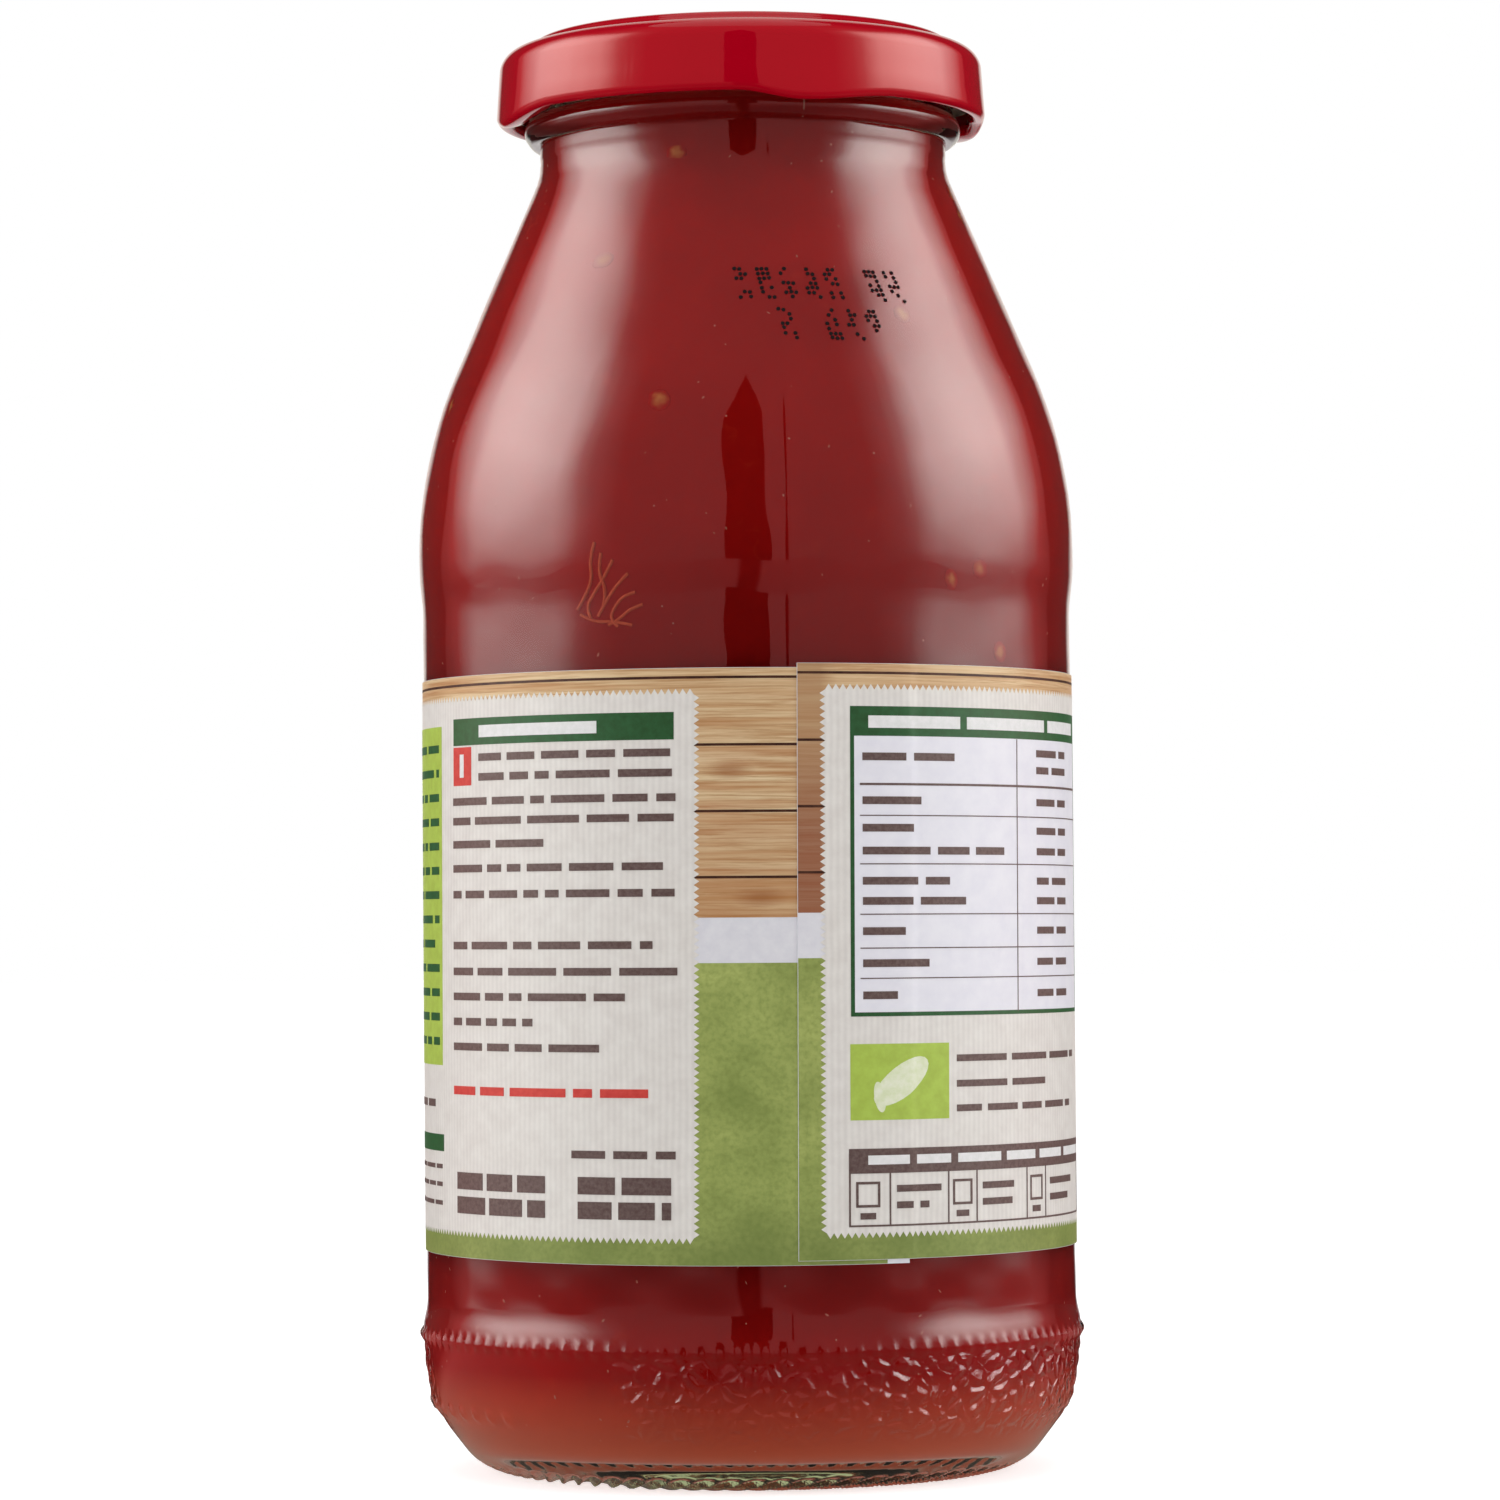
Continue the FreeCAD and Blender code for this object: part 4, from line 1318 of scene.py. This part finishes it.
# %% Hand the label over
hand_over(paper, inks["coated_white_paper"], "printed_paper", "label")
for sheet, finish in (
        (boards, wood), (gaps, inks["board_gap_ink"]), (green_field, leafy),
        (table_ground, inks["table_ground_ink"]), (ink_green, inks["dark_green_ink"]),
        (ink_lime, inks["lime_ink"]), (ink_red, inks["red_ink"]), (brown, inks["brown_text_ink"]),
        (red_words, inks["red_ink"]), (white_words, inks["white_ink"]),
        (green_words, inks["dark_green_ink"]), (block_leaf, inks["pale_leaf_ink"]),
        (tomato_dark, inks["tomato_shade_ink"]), (tomato_light, inks["tomato_light_ink"]),
        (calyx, inks["dark_green_ink"]), *[(panel, cream) for panel in panels]):
    hand_over(sheet, finish, "printed_paper")

# %% [markdown]
# ## The batch code
#
# A date and batch code is sprayed on every filled jar as rows of ink dots. Here it says nothing:
# the dots fall at random in two lines of cells. Each dot is a tiny eight-sided disc with a
# thickness. The glass is wavy there, so a ray is cast at it for each dot, to find where it lies.

# %% Ink dots on the shoulder
bpy.context.view_layer.update()
DOT_PITCH, DOT_RADIUS, DOT_THICK, DOT_LIFT = 0.54, 0.25, 0.05, 0.04
CELL_PITCH, CELL_COLUMNS, CELL_ROWS = 4.6, 3, 7
EMPTY_CELLS, INKED_DOTS = 0.16, 0.55


def on_glass(turn, height_at):
    """The place on the jar's outside at a bearing and a height, and the way it faces."""
    outward = at_bearing(turn, 1000.0, 0.0).normalized()
    _, place, facing, _ = jar.ray_cast(at_bearing(turn, 60.0, height_at), -outward)
    return place + facing * DOT_LIFT * MM, facing


dots = new_sheet("batch_code_dots")
for first_bearing, last_bearing, top in ((-2.0, 37.0, 134.9), (2.4, 30.0, 130.2)):
    wall_radius = on_glass(first_bearing, top)[0].xy.length / MM
    reach = math.radians(last_bearing - first_bearing) * wall_radius
    for cell in range(int(reach / (DOT_PITCH * CELL_PITCH))):
        if chance.random() < EMPTY_CELLS:
            continue
        for column in range(CELL_COLUMNS):
            for row in range(CELL_ROWS):
                if chance.random() > INKED_DOTS:
                    continue
                run = (cell * CELL_PITCH + column) * DOT_PITCH
                dot_height = top - row * DOT_PITCH + chance.uniform(-0.06, 0.06)
                turn = first_bearing + math.degrees((run + 0.12 * row) / wall_radius)
                place, facing = on_glass(turn, dot_height)
                bpy.ops.mesh.primitive_circle_add(
                    vertices=8, radius=DOT_RADIUS * MM, fill_type="NGON", location=place,
                    rotation=facing.to_track_quat("Z", "Y").to_euler())
bpy.ops.mesh.select_all(action="SELECT")
bpy.ops.object.mode_set(mode="OBJECT")
modify(dots, "thickness", "SOLIDIFY", thickness=DOT_THICK * MM, offset=0.0)
dot_ink, dot_out = new_finish("batch_code_ink")
dot_tone = mixed(dot_ink, noise(dot_ink, own_place(dot_ink), 1 / (0.5 * MM)), linear("140f10"),
                 linear("221a1c"))
coat(dot_ink, dot_out, dot_tone, 0.7, {"Specular IOR Level": 0.05})
hand_over(dots, dot_ink, "clear_glass")

# %% [markdown]
# ## The studio
#
# Glass shows what surrounds it more than it shows itself, so the studio is half of the look. Two
# tall soft boxes stand left and right and draw the long pale bands on the glass and the cap. Black
# flags beside the background keep the jar's edges dark and clean. A dim surround with a dark slot
# behind the camera gives the faint veil over the middle and the clear dark stripe in it. The
# surround is warm where it is dim, so the veil doesn't turn the pulp grey. All of that is one tall
# ring that only reflections and light bent by the glass see, with its brightness set by direction.
# The floor shows glass a painted reflection of the same boxes and flags: for glossy and bent rays
# it is an emission whose brightness by bearing and distance stands in for them mirrored in a sheen,
# weaker close to the jar. Light that the pulp itself gathers through the glass comes from the ring
# too, at a softer level, so the filling glows a little more towards its sides. The light on the
# rest of the object comes from a plain pale world and three large soft lamps, at a level where
# colours render about as they were written.

# %% Brightness by direction
HALF_TURN = 180.0


def bearing_share(finish, place):
    """How far round to either side a place lies, as a share of half a turn."""
    towards = worked_out(finish, "MULTIPLY", axis_of(finish, place, "Y"), -1.0)
    turn = worked_out(finish, "ARCTAN2", axis_of(finish, place, "X"), towards)
    return worked_out(finish, "DIVIDE", worked_out(finish, "ABSOLUTE", turn), math.pi)


def warmed(finish, level):
    """Studio light of a level, warm where it is dim and nearly white where it is bright."""
    less = worked_out(finish, "SUBTRACT", level, 0.65)
    green = worked_out(finish, "MAXIMUM", less, worked_out(finish, "MULTIPLY", level, 0.26))
    blue = worked_out(finish, "MULTIPLY", green, 0.96)
    return add(finish, "CombineColor", {"Red": level, "Green": green, "Blue": blue}
               ).outputs["Color"]


def glow(finish, colour, strength=1.0):
    return add(finish, "Emission", {"Color": colour, "Strength": strength})


def soaked(finish):
    """1 where light is gathered by the pulp, which has scattered it before, and 0 elsewhere."""
    depth = add(finish, "LightPath").outputs["Diffuse Depth"]
    return worked_out(finish, "GREATER_THAN", depth, 0.5)


# %% Floor
FLOOR_SEEN, FLOOR_GLOW_FOR_PULP, SHEEN_PEAK = 0.66, 1.1, 2.0
bpy.ops.object.select_all(action="DESELECT")
bpy.ops.mesh.primitive_plane_add(size=12.0)
floor = bpy.context.object
floor.name = "studio_floor"
pale, pale_out = new_finish("pale_studio_floor")
pale_path = add(pale, "LightPath").outputs
pale_matt = add(pale, "BsdfDiffuse", {"Color": linear("dcdcdc")})
pale_seen = add(pale, "MixShader", {
    "Fac": pale_path["Is Camera Ray"], 1: glow(pale, (0, 0, 0, 1), 0.0).outputs["Emission"],
    2: glow(pale, (1, 1, 1, 1), FLOOR_SEEN).outputs["Emission"]})
pale_plain = add(pale, "AddShader", {0: pale_matt.outputs["BSDF"], 1: pale_seen.outputs["Shader"]})

floor_place = own_place(pale)
floor_side = bearing_share(pale, floor_place)
# Painted reflection: what glass sees on the floor is an emission whose level by bearing, near the
# jar and far from it, stands in for the boxes, flags and backdrop mirrored in a sheen.
near_sheen = ramp_of(pale, floor_side, (
    (0, 0.15), (37, 0.27), (77, 0.3), (100, 0.26), (115, 0.2), (122, 0.05), (160, 0.03),
    (168, 0.92), (180, 0.92)), HALF_TURN)
far_sheen = ramp_of(pale, floor_side, (
    (0, 0.02), (3.0, 0.02), (4.2, 0.45), (55, 0.5), (80, 0.8), (112, 0.72), (126, 0.1),
    (140, 0.04), (180, 0.04)), HALF_TURN)
backdrop_in_floor_sheen = ramp_of(pale, floor_side, ((0, 0.0), (160, 0.0), (168, 0.92), (180, 0.92)),
                         HALF_TURN)
away = vector(pale, "LENGTH", floor_place, give="Value")
far_peak = remap(pale, away, 0.3, 0.6, 0.5 * SHEEN_PEAK, SHEEN_PEAK)
far_level = worked_out(pale, "MULTIPLY", far_sheen, far_peak)
far_colour = mixed(pale, 1.0, warmed(pale, far_level), backdrop_in_floor_sheen, "ADD")
near_colour = mixed(pale, 1.0, near_sheen, (1.0, 0.86, 0.7, 1.0), "MULTIPLY")
sheen_colour = mixed(pale, remap(pale, away, 0.05, 0.12), near_colour, far_colour)
painted_floor_reflection = glow(pale, mixed(pale, soaked(pale), sheen_colour,
                               (*[FLOOR_GLOW_FOR_PULP] * 3, 1.0)))
by_glass = worked_out(pale, "MAXIMUM", pale_path["Is Glossy Ray"],
                      pale_path["Is Transmission Ray"])
finished(pale, pale_out, add(pale, "MixShader", {
    "Fac": by_glass, 1: pale_plain.outputs["Shader"], 2: painted_floor_reflection.outputs["Emission"]}))
floor.data.materials.append(pale)
print("floor ready")

# %% The ring that glass and lacquer see
RING_RADIUS, RING_TOP, EYE_HEIGHT = 1.6, 4.0, 0.12
BOX_PEAK, SLOT_HALF = 7.8, 7.6
PLAIN_FOR_PULP, BOX_FOR_PULP = 0.22, 4.2
bpy.ops.mesh.primitive_cylinder_add(vertices=180, radius=RING_RADIUS, depth=RING_TOP,
                                    end_fill_type="NOTHING", location=(0, 0, RING_TOP / 2))
surround = bpy.context.object
surround.name = "studio_surround"
surround.data.transform(surround.matrix_world)
surround.matrix_world = Matrix.Identity(4)
for seen_by in ("visible_camera", "visible_diffuse", "visible_shadow", "visible_volume_scatter"):
    setattr(surround, seen_by, False)


def ring_height(climb):
    """The height on the ring of what is seen at a climb, in degrees, from the jar's middle."""
    return EYE_HEIGHT + RING_RADIUS * math.tan(math.radians(climb))


ring_light, ring_out = new_finish("studio_surround_light")
ring_place = own_place(ring_light)
ring_side = bearing_share(ring_light, ring_place)
ring_up = axis_of(ring_light, ring_place, "Z")
box_round = ramp_of(ring_light, ring_side, (
    (0, 0.0), (45, 0.0), (50, 0.03), (55, 0.07), (60, 0.2), (65, 0.52), (70, 0.8), (80, 0.97),
    (90, 1.0), (100, 0.9), (110, 0.72), (116, 0.46), (123, 0.27), (129, 0.13), (132, 0.09),
    (133.5, 0.0), (180, 0.0)), HALF_TURN)
box_up = ramp_of(ring_light, worked_out(ring_light, "DIVIDE", ring_up, RING_TOP), [
    (ring_height(climb), level) for climb, level in (
        (-4.2, 0.16), (-2, 0.2), (0, 0.3), (3, 0.42), (8, 0.66), (13, 0.8), (20, 1.0), (30, 1.0),
        (38, 0.85), (43, 0.65), (47, 0.3), (51, 0.08), (60, 0.03))], RING_TOP)
box = worked_out(ring_light, "MULTIPLY", box_round, box_up)
box = worked_out(ring_light, "MULTIPLY", box, BOX_PEAK)
veil = ramp_of(ring_light, ring_side, (
    (0, 1.0), (55, 1.0), (75, 0.7), (120, 0.1), (130, 0.0), (180, 0.0)), HALF_TURN)
backdrop = ramp_of(ring_light, ring_side, (
    (0, 0.0), (120, 0.0), (130, 0.04), (158, 0.04), (164, 0.9), (180, 1.0)), HALF_TURN)
slot_share = remap(ring_light, ring_up, ring_height(33), ring_height(44), SLOT_HALF / HALF_TURN,
                   0.0)
out_of_slot = worked_out(ring_light, "GREATER_THAN", ring_side, slot_share)
clear_veil = worked_out(ring_light, "MULTIPLY", veil, out_of_slot)
front_light = warmed(ring_light, worked_out(ring_light, "ADD", box, clear_veil))
back_light = mixed(ring_light, 1.0, backdrop, (1.0, 0.95, 0.88, 1.0), "MULTIPLY")
ring_seen = mixed(ring_light, 1.0, front_light, back_light, "ADD")

pulp_box = worked_out(ring_light, "MULTIPLY", box_round, BOX_FOR_PULP)
pulp_light = worked_out(ring_light, "ADD", pulp_box, PLAIN_FOR_PULP)
finished(ring_light, ring_out,
         glow(ring_light, mixed(ring_light, soaked(ring_light), ring_seen, pulp_light)))
surround.data.materials.append(ring_light)
print("ring stands", RING_RADIUS, "m away")


# %% Soft lamps
def soft_lamp(name, bearing_at, distance, up, wide, high, power):
    """A large soft lamp that points at the jar and doesn't show in reflections."""
    lamp_data = bpy.data.lights.new(name, "AREA")
    lamp_data.shape = "RECTANGLE"
    lamp_data.size, lamp_data.size_y = wide, high
    lamp_data.energy = power
    lamp = added(name, lamp_data)
    lamp.location = at_bearing(bearing_at, distance * 1000, up * 1000)
    aim = Vector((0, 0, 0.08)) - lamp.location
    lamp.rotation_euler = aim.to_track_quat("-Z", "Y").to_euler()
    for seen_by in ("visible_glossy", "visible_transmission", "visible_camera"):
        setattr(lamp, seen_by, False)


for name, side in (("left_lamp", -78), ("right_lamp", 78)):
    soft_lamp(name, side, 1.1, 0.35, 0.9, 1.3, 5.0)
soft_lamp("top_lamp", 0, 0.1, 1.5, 1.2, 1.2, 4.0)

# %% World
WORLD_LEVEL = 0.62
sky = bpy.data.worlds.new("studio_world")
bpy.context.scene.world = sky
sky.use_nodes = True
sky.node_tree.nodes.clear()
sky_path = add(sky, "LightPath").outputs
seen = worked_out(sky, "MAXIMUM", sky_path["Is Camera Ray"], worked_out(
    sky, "MAXIMUM", sky_path["Is Glossy Ray"], sky_path["Is Transmission Ray"]))
not_soaked = worked_out(sky, "LESS_THAN", sky_path["Diffuse Depth"], 0.5)
sky_level = remap(sky, worked_out(sky, "MULTIPLY", seen, not_soaked), 0, 1, WORLD_LEVEL, 1.0)
finished(sky, add(sky, "OutputWorld"),
         add(sky, "Background", {"Color": (1, 1, 1, 1), "Strength": sky_level}))

# %% [markdown]
# ## The camera
#
# The camera stands a little over half a metre away, at about a third of the jar's height, with a
# long lens, so the rim of the cap is seen slightly from below and the foot slightly from above. It
# leans less than half a degree.

# %% Camera
SENSOR, LENS = 36.0, 132.2
CAMERA_PLACE, CAMERA_PITCH, CAMERA_LEAN = (0.29, -637.0, 62.25), 91.83, -0.45
camera_data = bpy.data.cameras.new("camera")
camera_data.sensor_width = SENSOR
camera_data.lens = LENS
camera_data.clip_start = 0.05
camera = added("camera", camera_data)
camera.matrix_world = (Matrix.Translation(Vector(CAMERA_PLACE) * MM)
                       @ Matrix.Rotation(math.radians(CAMERA_PITCH), 4, "X")
                       @ Matrix.Rotation(math.radians(CAMERA_LEAN), 4, "Z"))
bpy.context.scene.camera = camera
bpy.context.scene.view_settings.view_transform = "Standard"
